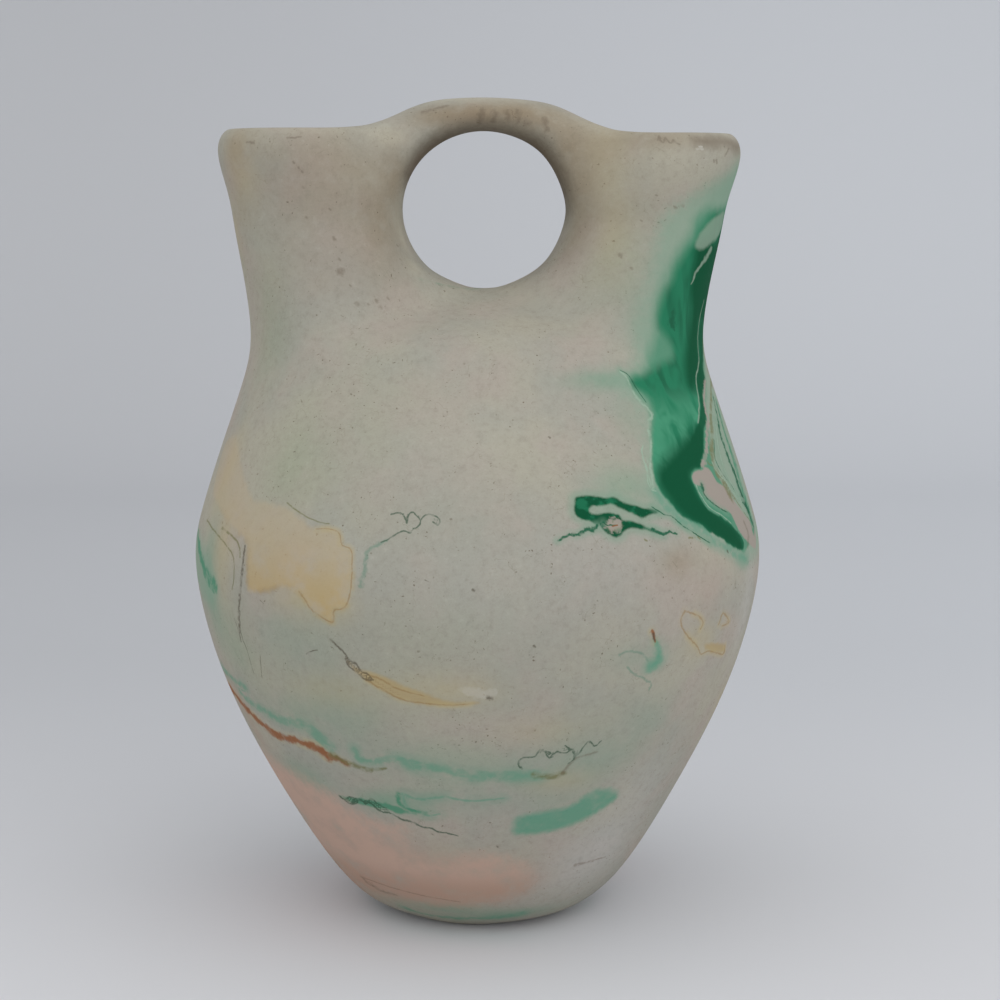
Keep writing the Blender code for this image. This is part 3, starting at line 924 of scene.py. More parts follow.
# %% The bands round the lower belly
RUST_BAND = (
    (230, 687), (245, 707), (260, 722), (277, 735), (298, 741), (317, 747), (331, 756), (346, 763),
)
RUST_CORE = ((292, 739), (304, 743), (315, 748), (328, 757))
OLIVE_BAND = ((331, 755), (346, 762), (357, 766), (369, 770), (386, 768))
TEAL_OVER_RUST = ((240, 692), (249, 701), (264, 711), (281, 720), (302, 724), (317, 735), (330, 747))
TEAL_BAND = (
    (355, 750), (361, 760), (380, 761), (397, 759), (411, 766), (443, 769), (460, 775), (501, 777),
    (540, 775),
)
TEAL_THREADS = (
    ((395, 757), (420, 763), (447, 771), (480, 776), (515, 775)),
    ((403, 794), (420, 799), (446, 797), (470, 801), (505, 798)),
    ((403, 794), (407, 806), (426, 815), (440, 814)),
)
TEAL_POOL = (
    (514, 833), (517, 818), (542, 812), (570, 806), (586, 795), (599, 789), (615, 790), (617, 797),
    (607, 806), (591, 816), (574, 824), (552, 831), (531, 834),
)
photo_thread("rust", RUST_BAND, 2.4, 1.9)
photo_thread("rust", RUST_CORE, 2.2, 2.6)
photo_thread("olive", OLIVE_BAND, 2.0, 0.8)
photo_thread("teal", TEAL_OVER_RUST, 1.4, 2.8)
photo_thread("teal", TEAL_BAND, 1.6, 2.8)
photo_threads("teal", TEAL_THREADS, 0.9, 0.4)
photo_patch("teal", TEAL_POOL)
print(len(marks), "marks with the bands")

# %% [markdown]
# Between and under the bands lie finer things: green threads with dark loops, a spindle of ochre that
# starts in a twist, and a squiggle above a short olive dash.

# %% Squiggles and a spindle
GREEN_LOW_LEFT = (
    (340, 795), (350, 797), (366, 801), (384, 803), (400, 808), (418, 814), (405, 814), (385, 809),
    (366, 804), (350, 803),
)
GREEN_BRANCH = ((399, 794), (398, 801), (404, 807), (413, 811), (425, 813))
LOW_LOOPS = ((346, 799), (352, 797), (355, 804), (360, 799), (366, 804), (371, 799), (378, 804), (386, 808))
SQUIGGLE_LOW_LEFT = (
    (340, 796), (346, 801), (352, 804), (355, 799), (362, 801), (369, 802), (380, 811), (390, 813),
    (401, 819), (412, 822), (422, 827), (430, 828), (439, 832), (447, 833), (458, 836),
)
OCHRE_SPINDLE = (
    (348, 661), (359, 669), (376, 674), (390, 679), (409, 688), (430, 695), (449, 702), (479, 703),
    (449, 706), (422, 704), (401, 699), (380, 689), (366, 680), (355, 671),
)
SPINDLE_TWIST = (
    ((331, 640), (337, 646), (344, 652), (349, 660), (356, 664), (361, 671), (367, 674), (373, 680)),
    ((346, 659), (350, 667), (357, 672), (363, 678), (370, 681)),
)
SPINDLE_EDGES = (
    ((369, 675), (382, 680), (394, 687), (408, 692), (424, 696)),
    ((367, 680), (380, 688), (401, 699), (422, 703), (449, 705), (470, 704)),
)
GREEN_SQUIGGLE = (
    ((522, 769), (518, 763), (523, 758), (534, 757), (540, 750), (545, 752), (550, 758), (556, 752),
     (566, 753), (572, 749), (577, 755), (583, 748), (589, 741), (595, 746), (601, 741)),
    ((541, 750), (549, 752), (553, 757)),
    ((565, 746), (573, 752), (574, 759), (568, 764)),
)
OLIVE_DASH = ((533, 775), (546, 776), (554, 777), (563, 773))
DASH_TAIL = ((563, 773), (570, 764), (577, 758), (586, 755), (597, 752))
photo_patch("mid_green", GREEN_LOW_LEFT)
photo_thread("mid_green", GREEN_BRANCH, 1.2, 1.0)
photo_thread("ink", LOW_LOOPS, 0.5, 0.6)
photo_thread("ink", SQUIGGLE_LOW_LEFT, 0.8, 0.45)
photo_patch("ochre", OCHRE_SPINDLE)
photo_threads("hairline", SPINDLE_TWIST, 0.6, 0.5)
photo_threads("ochre", SPINDLE_EDGES, 0.6, 0.3)
photo_threads("ink", GREEN_SQUIGGLE, 0.5, 0.4)
photo_thread("olive", OLIVE_DASH, 1.4, 1.7)
photo_thread("smudge_and_shadow", DASH_TAIL, 0.9, 0.5)
print(len(marks), "marks with the squiggles")

# %% [markdown]
# Small marks make the surface believable. On the right of the belly lie a looped thread of ochre and
# a teal crescent with a red tick.

# %% Small marks on the belly
OCHRE_LOOPS = (
    ((684, 611), (681, 622), (686, 634), (697, 646), (701, 654), (709, 651), (723, 654), (725, 644)),
    ((684, 611), (697, 615), (703, 622), (700, 630)),
    ((719, 624), (723, 613), (729, 622), (722, 626)),
)
OCHRE_FILL = ((704, 646), (712, 643), (723, 644), (724, 651), (712, 652))
RED_TICK = ((652, 631), (654, 636), (655, 642))
TICK_HEART = ((653, 634), (655, 640))
CRESCENT_CORE = ((655, 641), (659, 648), (661, 656), (657, 663), (651, 667))
TEAL_CRESCENT = (
    (655, 641), (659, 647), (661, 655), (659, 663), (655, 669), (650, 669), (648, 663), (655, 657),
    (656, 649),
)
FAINT_LOOPS = (
    ((627, 667), (634, 674), (643, 678), (651, 684), (649, 690)),
    ((619, 655), (630, 651), (642, 654), (648, 661)),
)
photo_threads("ochre", OCHRE_LOOPS, 0.45, 0.35)
photo_patch("ochre", OCHRE_FILL)
photo_thread("teal", CRESCENT_CORE, 0.9, 2.6)
photo_thread("rust", RED_TICK, 0.9, 0.5)
photo_thread("hairline", TICK_HEART, 0.7, 0.7)
photo_patch("teal", TEAL_CRESCENT)
photo_threads("celadon_line", FAINT_LOOPS, 0.5, 0.6)
print(len(marks), "marks with the crescent")

# %% [markdown]
# The rest are a squiggle of green that looks like handwriting but says nothing, hairline cracks in the
# wash, a scuff, and specks and pits, each a dot with a width in millimetres.

# %% Scribble, cracks and pits
SCRIBBLE_LOOPS = (
    ((391, 514), (399, 513), (404, 516), (407, 523), (408, 515), (412, 512), (416, 515), (420, 520),
     (419, 526), (413, 529), (411, 533)),
    ((423, 517), (429, 514), (435, 516), (440, 520), (438, 525), (433, 522)),
    ((411, 533), (402, 531), (395, 535), (387, 540), (381, 542)),
)
SCRIBBLE_TAIL = (
    (387, 540), (381, 543), (374, 547), (368, 551), (366, 561), (365, 570), (362, 578), (361, 586),
)
STAIN_TOP_LINE = ((287, 503), (302, 514), (316, 521), (329, 524))
LONG_CRACK = ((245, 546), (243, 562), (241, 585), (239, 608), (240, 630))
HAIRLINES = (
    ((240, 630), (243, 640), (247, 650), (251, 664), (254, 674)),
    ((234, 618), (238, 629), (241, 642)),
    ((260, 655), (261, 667), (262, 678)),
    ((306, 654), (312, 651), (318, 650)),
    ((260, 600), (264, 604)),
    ((425, 580), (430, 582)),
    ((673, 562), (677, 567)),
)
WHITE_SCUFF = ((460, 689), (472, 687), (485, 691), (496, 688), (495, 697), (478, 698), (465, 694))
photo_threads("ink", SCRIBBLE_LOOPS, 0.4, 0.35)
photo_thread("celadon_line", SCRIBBLE_TAIL, 0.7, 1.2)
photo_thread("olive", STAIN_TOP_LINE, 0.35, 0.3)
photo_thread("hairline", LONG_CRACK, 0.7, 1.0)
photo_threads("hairline", HAIRLINES, 0.3, 0.2)
photo_patch("scuff", WHITE_SCUFF)
BLACK_SPECKS = (
    (489, 697, 1.0), (473, 590, 0.6), (549, 437, 0.5), (534, 646, 0.5), (727, 551, 0.5),
    (497, 846, 0.5), (432, 834, 0.5),
)
PITS = (
    (340, 271, 1.6), (334, 238, 0.7), (339, 259, 0.5), (356, 303, 0.8), (388, 298, 0.7), (380, 306, 0.9),
    (376, 300, 0.6), (368, 304, 0.5), (350, 285, 0.4), (303, 187, 0.5), (306, 217, 0.5), (302, 171, 0.5),
    (298, 167, 0.4), (293, 162, 0.4), (329, 209, 0.5), (400, 259, 0.5), (397, 245, 0.5), (656, 195, 0.4),
    (675, 207, 0.6), (682, 205, 0.7), (620, 255, 0.9), (641, 220, 0.4), (631, 268, 0.5),
)
for x, y, wide in BLACK_SPECKS:
    photo_thread("hairline", ((x, y), (x + 1, y + 1)), wide, wide)
for x, y, wide in PITS:
    photo_thread("smudge_and_shadow", ((x, y), (x + 1, y + 1)), wide, wide)
print(len(marks), "marks with the small ones")

# %% [markdown]
# The rims and the handle were dipped in a brown wash and then rubbed. Short dark strokes are left in it, and
# the first two, just under the left lip's top, are painted shadow under its rounded edge. At the foot a thin
# terracotta stain and a green rim show where colour ran off the base.

# %% Rims, handle and foot
# the first two strokes are painted shadow under the left lip's rounded top, the rest are dark strokes
RIM_STROKES_AND_LIP_SHADOW = (
    ((247, 142), (254, 143)), ((288, 138), (301, 137)),
    ((658, 140), (659, 136), (661, 141), (664, 142), (665, 138), (668, 141)),
    ((668, 141), (671, 143), (673, 140), (675, 142), (679, 144)),
    ((729, 148), (727, 152), (725, 156)), ((714, 160), (714, 162)), ((717, 160), (717, 163)),
)
RIM_STAIN = (
    (692, 139), (700, 137), (712, 136), (724, 137), (733, 140), (739, 145), (738, 153), (732, 151),
    (727, 147), (718, 148), (708, 148), (700, 145), (694, 144),
)
HANDLE_SMUDGES = (
    ((482, 108), (481, 116), (479, 123)), ((518, 111), (518, 122)), ((525, 123), (531, 123)),
    ((545, 120), (547, 130)), ((495, 113), (493, 122)), ((507, 112), (509, 121)), ((424, 112), (446, 106)),
)
RIM_CHIPS = (((697, 149), (703, 149)), ((699, 147), (702, 147)))
FOOT_STAIN_NEAR = (
    (262, 750), (275, 762), (290, 772), (306, 780), (322, 790), (338, 799), (355, 811), (369, 819),
    (388, 823), (402, 828), (404, 848), (420, 857), (443, 861), (470, 857), (500, 858), (522, 866),
    (528, 880), (520, 893), (500, 900), (470, 904), (440, 904), (410, 900), (385, 893),
)
FOOT_STAIN_FAR = ((-75, 3), (-100, 4), (-125, 5), (-143, 12), (-138, 24), (-118, 34), (-98, 41))
FOOT_LINE = ((362, 877), (390, 887), (425, 896), (460, 902))
FOOT_RIM = ((405, 908), (425, 914), (455, 918), (490, 918), (521, 914))
FOOT_STREAKS = (((362, 877), (368, 883), (376, 888)), ((372, 885), (382, 891), (396, 895)))
FAINT_LOW_RIGHT = ((575, 865), (588, 862), (605, 857))
photo_threads("smudge_and_shadow", RIM_STROKES_AND_LIP_SHADOW, 0.5, 0.5)
photo_patch("umber_stain", RIM_STAIN)
photo_threads("smudge_and_shadow", HANDLE_SMUDGES, 1.5, 1.1)
photo_threads("scuff", RIM_CHIPS, 0.5, 0.4)
photo_patch("earth", FOOT_STAIN_NEAR, FOOT_STAIN_FAR)
photo_thread("smudge_and_shadow", FOOT_LINE, 0.5, 0.35)
photo_thread("teal", FOOT_RIM, 1.6, 2.2)
photo_threads("smudge_and_shadow", FOOT_STREAKS, 1.6, 0.8)
photo_thread("smudge_and_shadow", FAINT_LOW_RIGHT, 0.9, 0.6)
print(len(marks), "marks seen in the photograph")

# %% [markdown]
# The photograph hides the far half, so its marks are invented in the same manner: the pour's far
# side comes down in streaks and curls under the belly, a second, thinner stream lies behind it, bands
# of teal, rust and ochre run on round the lower wall, and the back carries one quiet stain, one small
# hook and two teal pools.

# %% The sides and the back
FAR_THREADS = (
    ("cream_and_highlight", ((96, 188), (100, 170), (101, 150), (97, 130), (94, 112)), 0.6, 0.4),
    ("dark_green", ((104, 180), (107, 160), (106, 142), (100, 122), (95, 104)), 0.8, 1.4),
    ("lobe", ((110, 176), (112, 158), (109, 140), (103, 122), (97, 104)), 1.8, 1.0),
    ("olive", ((115, 168), (116, 152), (111, 134), (104, 116), (99, 102)), 0.6, 0.4),
    ("bare", ((92, 150), (90, 132), (92, 116), (96, 104)), 0.6, 0.8),
    ("deep_green", ((90, 94), (98, 89), (108, 86), (120, 85), (131, 88), (143, 87)), 3.4, 0.6),
    ("cream_and_highlight", ((92, 97), (101, 92), (111, 89), (122, 88), (133, 91)), 0.6, 0.3),
    ("dark_green", ((96, 85), (106, 82), (118, 81), (130, 83), (141, 81)), 0.5, 0.3),
    ("deep_green", ((-152, 132), (-144, 136), (-138, 131), (-141, 124), (-150, 122), (-163, 125)), 2.2, 0.7),
    ("dark_green", ((-163, 125), (-170, 122), (-176, 125), (-183, 121)), 0.6, 0.3),
    ("dark_green", ((-152, 132), (-160, 135), (-168, 132), (-175, 136)), 0.8, 0.3),
    ("rust", ((-75, 61.5), (-86, 60), (-102, 54), (-118, 51), (-134, 55), (-150, 53), (-163, 57)), 2.2, 0.6),
    ("olive", ((-160, 57), (-170, 60), (-182, 58)), 0.9, 0.5),
    ("teal", ((-61, 65), (-74, 66), (-86, 65), (-105, 59), (-122, 57), (-140, 61), (-170, 64)), 1.8, 0.7),
    ("teal", ((98, 50), (112, 46), (126, 49), (140, 46), (156, 51), (172, 49), (190, 53)), 2.2, 0.9),
    ("teal", ((112, 36), (124, 39), (138, 35), (150, 38), (163, 37)), 1.2, 0.5),
    ("dark_green", ((120, 58), (124, 61), (127, 57), (131, 61), (134, 58), (139, 61), (146, 59)), 0.4, 0.3),
    ("dark_green", ((152, 30), (158, 33), (163, 29), (170, 31), (178, 28), (188, 29)), 0.5, 0.3),
    ("ochre", ((138, 72), (150, 67), (164, 66), (178, 69), (192, 66)), 0.5, 1.1),
    ("rust", ((104, 60), (111, 57), (119, 56), (127, 52)), 0.5, 1.3),
    ("dark_green", ((112, 184), (111, 174), (109, 163), (106, 152), (104, 138), (99, 122)), 1.8, 0.5),
    ("cream_and_highlight", ((113, 176), (111, 163), (108, 150), (106, 136)), 0.6, 0.4),
    ("ink", ((148, 118), (151, 121), (154, 117), (157, 121), (160, 118), (163, 121), (166, 117)), 0.5, 0.4),
    ("teal", ((166, 117), (170, 113), (174, 108), (175, 101)), 0.7, 1.2),
    ("ink", ((-137, 46), (-142, 49), (-146, 45), (-151, 49), (-155, 46), (-160, 48)), 0.5, 0.4),
    ("olive", ((-135, 50), (-150, 47), (-165, 49)), 0.9, 0.4),
    ("teal", ((-110, 43), (-128, 40), (-145, 44), (-160, 41), (-175, 44)), 1.4, 0.5),
    ("rust", ((172, 60), (180, 57), (188, 58), (197, 54)), 0.6, 1.4),
    ("cream_and_highlight", ((-150, 138), (-143, 141), (-134, 135), (-136, 124)), 0.6, 0.3),
    ("hairline", ((-130, 146), (-127, 134), (-129, 122), (-126, 112)), 0.45, 0.3),
    ("hairline", ((175, 142), (178, 131), (176, 124)), 0.4, 0.25),
    ("hairline", ((-108, 100), (-110, 88), (-107, 76)), 0.35, 0.25),
    ("hairline", ((-171, 96), (-168, 88), (-172, 80)), 0.3, 0.3),
    ("hairline", ((150, 100), (158, 102), (163, 99)), 0.3, 0.25),
    ("mid_green", ((60, 2.5), (90, 2), (120, 2.5), (150, 2), (180, 2.5), (205, 2)), 1.2, 0.8),
    ("mid_green", ((-150, 2), (-115, 2.5), (-80, 2), (-50, 2.5)), 0.8, 1.2),
)
FAR_PEACH = (
    (-128, 104), (-122, 110), (-134, 116), (-148, 112), (-158, 102), (-155, 92), (-146, 88), (-141, 78),
    (-134, 84), (-124, 86), (-117, 94),
)
FAR_SPINDLE = ((-186, 72), (-178, 76), (-168, 76), (-160, 72), (-168, 70), (-178, 69))
FAR_POOL = ((158, 20), (166, 24), (178, 25), (188, 22), (184, 17), (172, 15), (162, 16))
FAR_EARTH = ((108, 14), (126, 20), (142, 18), (150, 9), (138, 4), (118, 4), (106, 7))
FAR_GREEN = (
    (132, 166), (140, 169), (148, 162), (153, 152), (157, 138), (152, 128), (147, 120), (143, 130),
    (138, 121), (133, 132), (131, 150),
)
FAR_STREAM = (
    (136, 164), (140, 163), (144, 156), (149, 149), (152, 139), (149, 134), (146, 145), (141, 149),
    (142, 139), (140, 129), (137, 137), (137, 150), (134, 159),
)
FAR_TEAL = ((-152, 30), (-142, 34), (-128, 33), (-117, 29), (-128, 26), (-142, 25))
for field, places, start_width, end_width in FAR_THREADS:
    thread(field, places, start_width, end_width)
patch("peach", FAR_PEACH)
patch("ochre", FAR_SPINDLE)
patch("teal", FAR_POOL)
patch("teal", FAR_TEAL)
patch("earth", FAR_EARTH)
patch("pale_green", FAR_GREEN)
patch("mid_green", FAR_STREAM)
print(len(marks), "marks in all")

# %% [markdown]
# Under the marks lie soft dabs with no edge at all. The smoky umber round the hole and rims is partly painted
# shade, where the clay turns into the hole and under the handle. The cream dabs are mostly painted highlights
# on the lips' tops, the handle's top, the lit sides of the hole and the lit slope under it. The chalk dabs
# are painted light on the lower right of the belly and at its right edge. Celadon lies on the neck, teal and
# green haze round the stronger colours, terracotta towards the foot. Each dab below has a pixel of the
# photograph, a half width and a half height in millimetres, and a strength.

# %% Soft washes, painted light and painted shade
BOTH_SIDES = ("umber_and_shade", "cream_and_highlight")
SOFT_DABS = {
    "ash": (
        (470, 560, 22, 16, 0.5), (600, 560, 16, 16, 0.4), (380, 620, 14, 10, 0.5), (520, 640, 22, 12, 0.5),
        (360, 640, 10, 8, 0.4), (420, 470, 16, 12, 0.4), (340, 250, 12, 14, 0.5), (640, 300, 8, 10, 0.3),
    ),
    # umber: partly painted shade round the hole's edges and under the handle, partly brown colour
    "umber_and_shade": (
        (236, 148, 6, 5, 0.5), (300, 150, 12, 6, 0.25), (350, 175, 14, 12, 0.35), (395, 175, 4, 8, 0.5),
        (380, 230, 8, 14, 0.55), (300, 205, 14, 12, 0.3), (430, 122, 7, 4, 0.4), (450, 115, 9, 2.6, 0.7),
        (480, 113, 9, 2.6, 0.8), (515, 113, 10, 2.8, 0.8), (545, 121, 7, 4, 0.65), (567, 146, 4, 7, 0.6),
        (583, 180, 6, 12, 0.55), (600, 142, 9, 5, 0.35), (650, 138, 10, 3, 0.35), (690, 139, 10, 2.5, 0.3),
        (335, 262, 14, 12, 0.25), (576, 235, 5, 12, 0.35), (640, 200, 14, 12, 0.15), (240, 200, 5, 12, 0.25),
        (678, 562, 6, 4, 0.45),
    ),
    # chalk: painted light on the lower right of the belly and at its right edge, with a few faint pale
    # patches
    "chalk_and_painted_light": (
        (600, 850, 12, 12, 0.7), (640, 790, 10, 12, 0.3), (560, 875, 10, 7, 0.5), (745, 610, 5, 16, 0.5),
        (340, 560, 5, 6, 0.2), (480, 620, 20, 12, 0.15),
    ),
    "celadon": (
        (264, 300, 7, 16, 0.35), (272, 350, 8, 18, 0.5), (292, 470, 9, 12, 0.6), (340, 430, 22, 22, 0.3),
        (450, 520, 26, 16, 0.25), (622, 262, 9, 16, 0.6), (400, 640, 32, 12, 0.4), (520, 640, 24, 14, 0.2),
        (350, 700, 20, 12, 0.25), (600, 730, 18, 12, 0.3), (245, 650, 8, 12, 0.4),
    ),
    # cream: mostly painted highlights on lip tops, the handle's top, the lit sides of the hole and the slope
    # under it
    "cream_and_highlight": (
        (482, 298, 18, 5, 0.5), (388, 137, 6, 3, 1.0), (403, 240, 2, 7, 1.0), (414, 267, 3, 3, 0.8),
        (470, 99, 12, 1.2, 0.6),
        (330, 131, 14, 1, 0.4), (600, 130, 4, 2, 0.4), (470, 440, 18, 14, 0.2), (665, 155, 8, 4, 0.4),
        (690, 172, 8, 5, 0.3),
    ),
    "green_haze": (
        (640, 330, 4, 16, 0.5), (630, 420, 5, 10, 0.4), (606, 380, 9, 2.4, 0.8), (636, 490, 9, 6, 0.5),
        (612, 486, 9, 4, 0.3), (733, 182, 5, 7, 0.9), (722, 198, 6, 7, 0.8),
        (706, 212, 5, 6, 0.6), (743, 558, 4, 2.5, 0.9), (210, 585, 5, 14, 0.8),
        (388, 803, 9, 3.4, 0.8), (300, 772, 8, 4, 0.35),
        (232, 640, 7, 10, 0.3),
    ),
    "teal_haze": (
        (470, 772, 26, 5, 0.5), (590, 760, 14, 6, 0.4), (420, 752, 16, 4, 0.3), (340, 720, 14, 6, 0.4),
        (290, 712, 12, 5, 0.4), (560, 800, 10, 4, 0.4), (640, 656, 9, 4, 0.4), (310, 780, 8, 4, 0.5),
        (430, 800, 14, 4, 0.4), (290, 640, 14, 10, 0.25), (650, 720, 8, 8, 0.3), (440, 908, 12, 2, 0.8),
        (505, 914, 12, 2, 0.8),
    ),
    "earth_haze": (
        (330, 830, 12, 10, 0.6), (380, 860, 14, 10, 0.6), (290, 785, 6, 6, 0.6), (450, 875, 16, 7, 0.5),
        (240, 700, 5, 6, 0.5), (258, 735, 5, 6, 0.4), (400, 895, 12, 5, 0.5), (520, 880, 10, 6, 0.4),
        (310, 800, 8, 8, 0.5), (710, 590, 8, 10, 0.2), (690, 480, 8, 8, 0.2),
    ),
    "ochre_haze": (
        (222, 545, 6, 12, 0.5), (226, 475, 5, 13, 0.5),
        (300, 600, 8, 5, 0.5), (450, 690, 12, 4, 0.4), (700, 640, 6, 4, 0.4),
        (330, 690, 12, 5, 0.3), (720, 700, 6, 6, 0.3), (540, 730, 10, 4, 0.2), (560, 780, 9, 3, 0.4),
        (340, 600, 4, 5, 0.5),
        (240, 172, 6, 10, 0.3), (236, 230, 5, 10, 0.3), (608, 150, 6, 9, 0.25), (612, 230, 5, 14, 0.25),
    ),
}
for field, touches in SOFT_DABS.items():
    for x, y, across, up, strength in touches:
        place = spot(x, y)
        dab(field, place, across, up, strength)
        if field in BOTH_SIDES:
            dab(field, (place.x, -place.y, place.z), across, up, strength)
print(len(dabs), "dabs seen in the photograph")

# %% [markdown]
# The far half has washes in the same colours. Here a dab starts with its turn and height on the clay.

# %% Washes round the back
FAR_SOFT_DABS = {
    "celadon": (
        (-110, 150, 14, 16, 0.6), (-150, 140, 18, 20, 0.4), (170, 120, 24, 18, 0.4), (120, 80, 20, 14, 0.3),
        (-170, 60, 24, 14, 0.4), (150, 185, 14, 12, 0.3),
    ),
    "green_haze": (
        (118, 160, 10, 18, 0.5), (112, 120, 8, 12, 0.5), (125, 92, 16, 8, 0.5), (-146, 129, 12, 9, 0.6),
        (-98, 86, 6, 12, 0.6), (-165, 126, 12, 6, 0.4),
    ),
    "teal_haze": (
        (140, 50, 20, 6, 0.5), (172, 50, 20, 6, 0.5), (-120, 60, 16, 6, 0.5), (-155, 62, 16, 6, 0.5),
        (175, 20, 16, 6, 0.5), (110, 40, 14, 6, 0.3),
    ),
    "earth_haze": (
        (-105, 25, 14, 14, 0.6), (-125, 18, 12, 12, 0.6), (128, 12, 14, 10, 0.5), (-90, 45, 8, 8, 0.4),
        (165, 8, 14, 6, 0.3),
    ),
    "ochre_haze": (
        (-140, 98, 16, 12, 0.4), (165, 68, 18, 6, 0.5), (100, 66, 10, 8, 0.3), (-115, 72, 12, 6, 0.3),
    ),
    "chalk_and_painted_light": ((150, 100, 20, 16, 0.25), (-175, 95, 16, 14, 0.25), (-125, 125, 12, 12, 0.2)),
    "umber_and_shade": ((-120, 190, 14, 10, 0.3), (130, 192, 14, 8, 0.3), (-95, 196, 8, 5, 0.4), (85, 197, 8, 3, 0.4)),
}
for field, touches in FAR_SOFT_DABS.items():
    for turn, height, across, up, strength in touches:
        dab(field, on_clay(turn, height), across, up, strength)
print(len(dabs), "dabs of wash")

# %% [markdown]
# Thin marks need a finer mesh than plain clay does, so faces near a mark are split again and again.
# Each new point is set onto the guide, and the direction that the clay faces is carried along with
# the points, so the finer patches shade exactly like the skin round them.

# %% Finer mesh near the marks
REFINE_REACHES = (1.7, 0.9)
MOST_INSIDE = 0.5


def split_faces(mesh, faces):
    edges = {edge for face in faces for edge in face.edges}
    made = bmesh.ops.subdivide_edges(mesh, edges=list(edges), cuts=1, use_grid_fill=True)
    for part in made["geom_inner"]:
        if isinstance(part, bmesh.types.BMVert):
            part.co = guide_tree.find_nearest(part.co)[0]


def painted_faces(mesh, tree, inside, reach):
    near = [
        vert[inside] < MOST_INSIDE and tree.find(vert.co)[2] < reach * MM for vert in mesh.verts
    ]
    mesh.verts.index_update()
    return [face for face in mesh.faces if any(near[vert.index] for vert in face.verts)]


clay = bmesh.new()
clay.from_mesh(skin)
inside = clay.verts.layers.float["inside"]
facing = clay.verts.layers.float_vector.new("facing")
clay.normal_update()
for vert in clay.verts:
    vert[facing] = vert.normal
split_faces(clay, [face for face in clay.faces if any(vert[inside] < MOST_INSIDE for vert in face.verts)])
mark_points = np.vstack([curve for _, _, curve, _ in marks]) * MM
mark_tree = KDTree(len(mark_points))
for i, place in enumerate(mark_points.tolist()):
    mark_tree.insert(place, i)
mark_tree.balance()
for reach in REFINE_REACHES:
    split_faces(clay, painted_faces(clay, mark_tree, inside, reach))
    print("within", reach, "mm of a mark:", len(clay.faces), "faces in all")

# %% [markdown]
# Paint is stored by distance. A thread can be finer than the mesh, so besides the distance to its edge
# it stores the way from its middle line to the point, in half widths. Between points that way passes
# through zero exactly on the line, which keeps even a hair's breadth sharp.

# %% Distance to a line
CHUNK = 4000
TINY = 1e-9


def from_curve(points, curve, half_widths, closed):
    """For points near a curve: distance to its painted edge, and way from its line in half widths."""
    gaps = np.empty(len(points))
    ways = np.empty((len(points), 3))
    count = len(curve)
    for start in range(0, len(points), CHUNK):
        part = points[start:start + CHUNK]
        near = ((part[:, None] - curve[None]) ** 2).sum(axis=2).argmin(axis=1)
        best = np.full(len(part), np.inf)
        way = np.zeros_like(part)
        for step in (-1, 1):
            other = (near + step) % count if closed else np.clip(near + step, 0, count - 1)
            along = curve[other] - curve[near]
            share = ((part - curve[near]) * along).sum(axis=1) / ((along**2).sum(axis=1) + TINY)
            share = np.clip(share, 0, 1)
            offset = part - curve[near] - along * share[:, None]
            half = between(half_widths[near], half_widths[other], share)
            gap = np.linalg.norm(offset, axis=1) - half
            closer = gap < best
            best[closer] = gap[closer]
            way[closer] = offset[closer] / (half[closer, None] + TINY)
        gaps[start:start + CHUNK] = best
        ways[start:start + CHUNK] = way
    return gaps, ways


line_ends = np.array([[0.0, 0, 0], [10, 0, 0]])
print("3 mm beside a line of 2 mm:", from_curve(np.array([[5.0, 3, 0]]), line_ends, np.ones(2), False))

# %% [markdown]
# A patch needs to know what lies inside its outline. A level line to the right of a place crosses the
# outline an odd number of times if the place is inside.

# %% Inside an outline
def inside_outline(turns, heights, outline):
    """Whether places lie inside a closed outline, counted by the edges that a level line crosses."""
    middle = outline[:, 0].mean()
    across = (turns - middle + 180) % 360 - 180
    odd = np.zeros(len(turns), dtype=bool)
    for start, end in zip(outline, np.roll(outline, -1, axis=0)):
        if start[1] == end[1]:
            continue
        crosses = (heights < start[1]) != (heights < end[1])
        share = (heights - start[1]) / (end[1] - start[1])
        odd ^= crosses & (across < between(start[0], end[0], share) - middle)
    return odd


corners = np.array([[0.0, 0], [4, 0], [4, 4], [0, 4]])
print("in and beside a square:", inside_outline(np.array([1.0, 9.0]), np.array([2.0, 2.0]), corners))

# %% [markdown]
# Each kind of paint becomes numbers on every point: for a patch the distance to its edge in
# millimetres, less than nothing inside, for a thread its distance and way, and for a dab a strength.

# %% Numbers on every point
FAR = 6.0

clay.verts.index_update()
points = np.array([vert.co for vert in clay.verts]) / MM
normals = np.array([vert[facing] for vert in clay.verts])
outside = np.array([vert[inside] for vert in clay.verts]) < MOST_INSIDE
turns = np.degrees(np.arctan2(points[:, 0], -points[:, 1]))
looks_out = (normals[:, :2] * points[:, :2]).sum(axis=1) > 0
patches = {}
threads = {}
strengths = {}
for field, outline, curve, half_widths in marks:
    near = ((points > curve.min(axis=0) - FAR) & (points < curve.max(axis=0) + FAR)).all(axis=1) & outside
    if outline is not None:
        near &= looks_out
    chosen = np.flatnonzero(near)
    gaps, ways = from_curve(points[chosen], curve, half_widths, outline is not None)
    if outline is not None:
        values = patches.setdefault(field, np.full(len(points), FAR))
        gaps[inside_outline(turns[chosen], points[chosen, 2], outline)] *= -1
        values[chosen] = np.minimum(values[chosen], gaps)
    else:
        values, offsets = threads.setdefault(
            field, (np.full(len(points), FAR), np.full((len(points), 3), FAR))
        )
        nearer = gaps < values[chosen]
        values[chosen[nearer]] = gaps[nearer]
        offsets[chosen[nearer]] = ways[nearer]
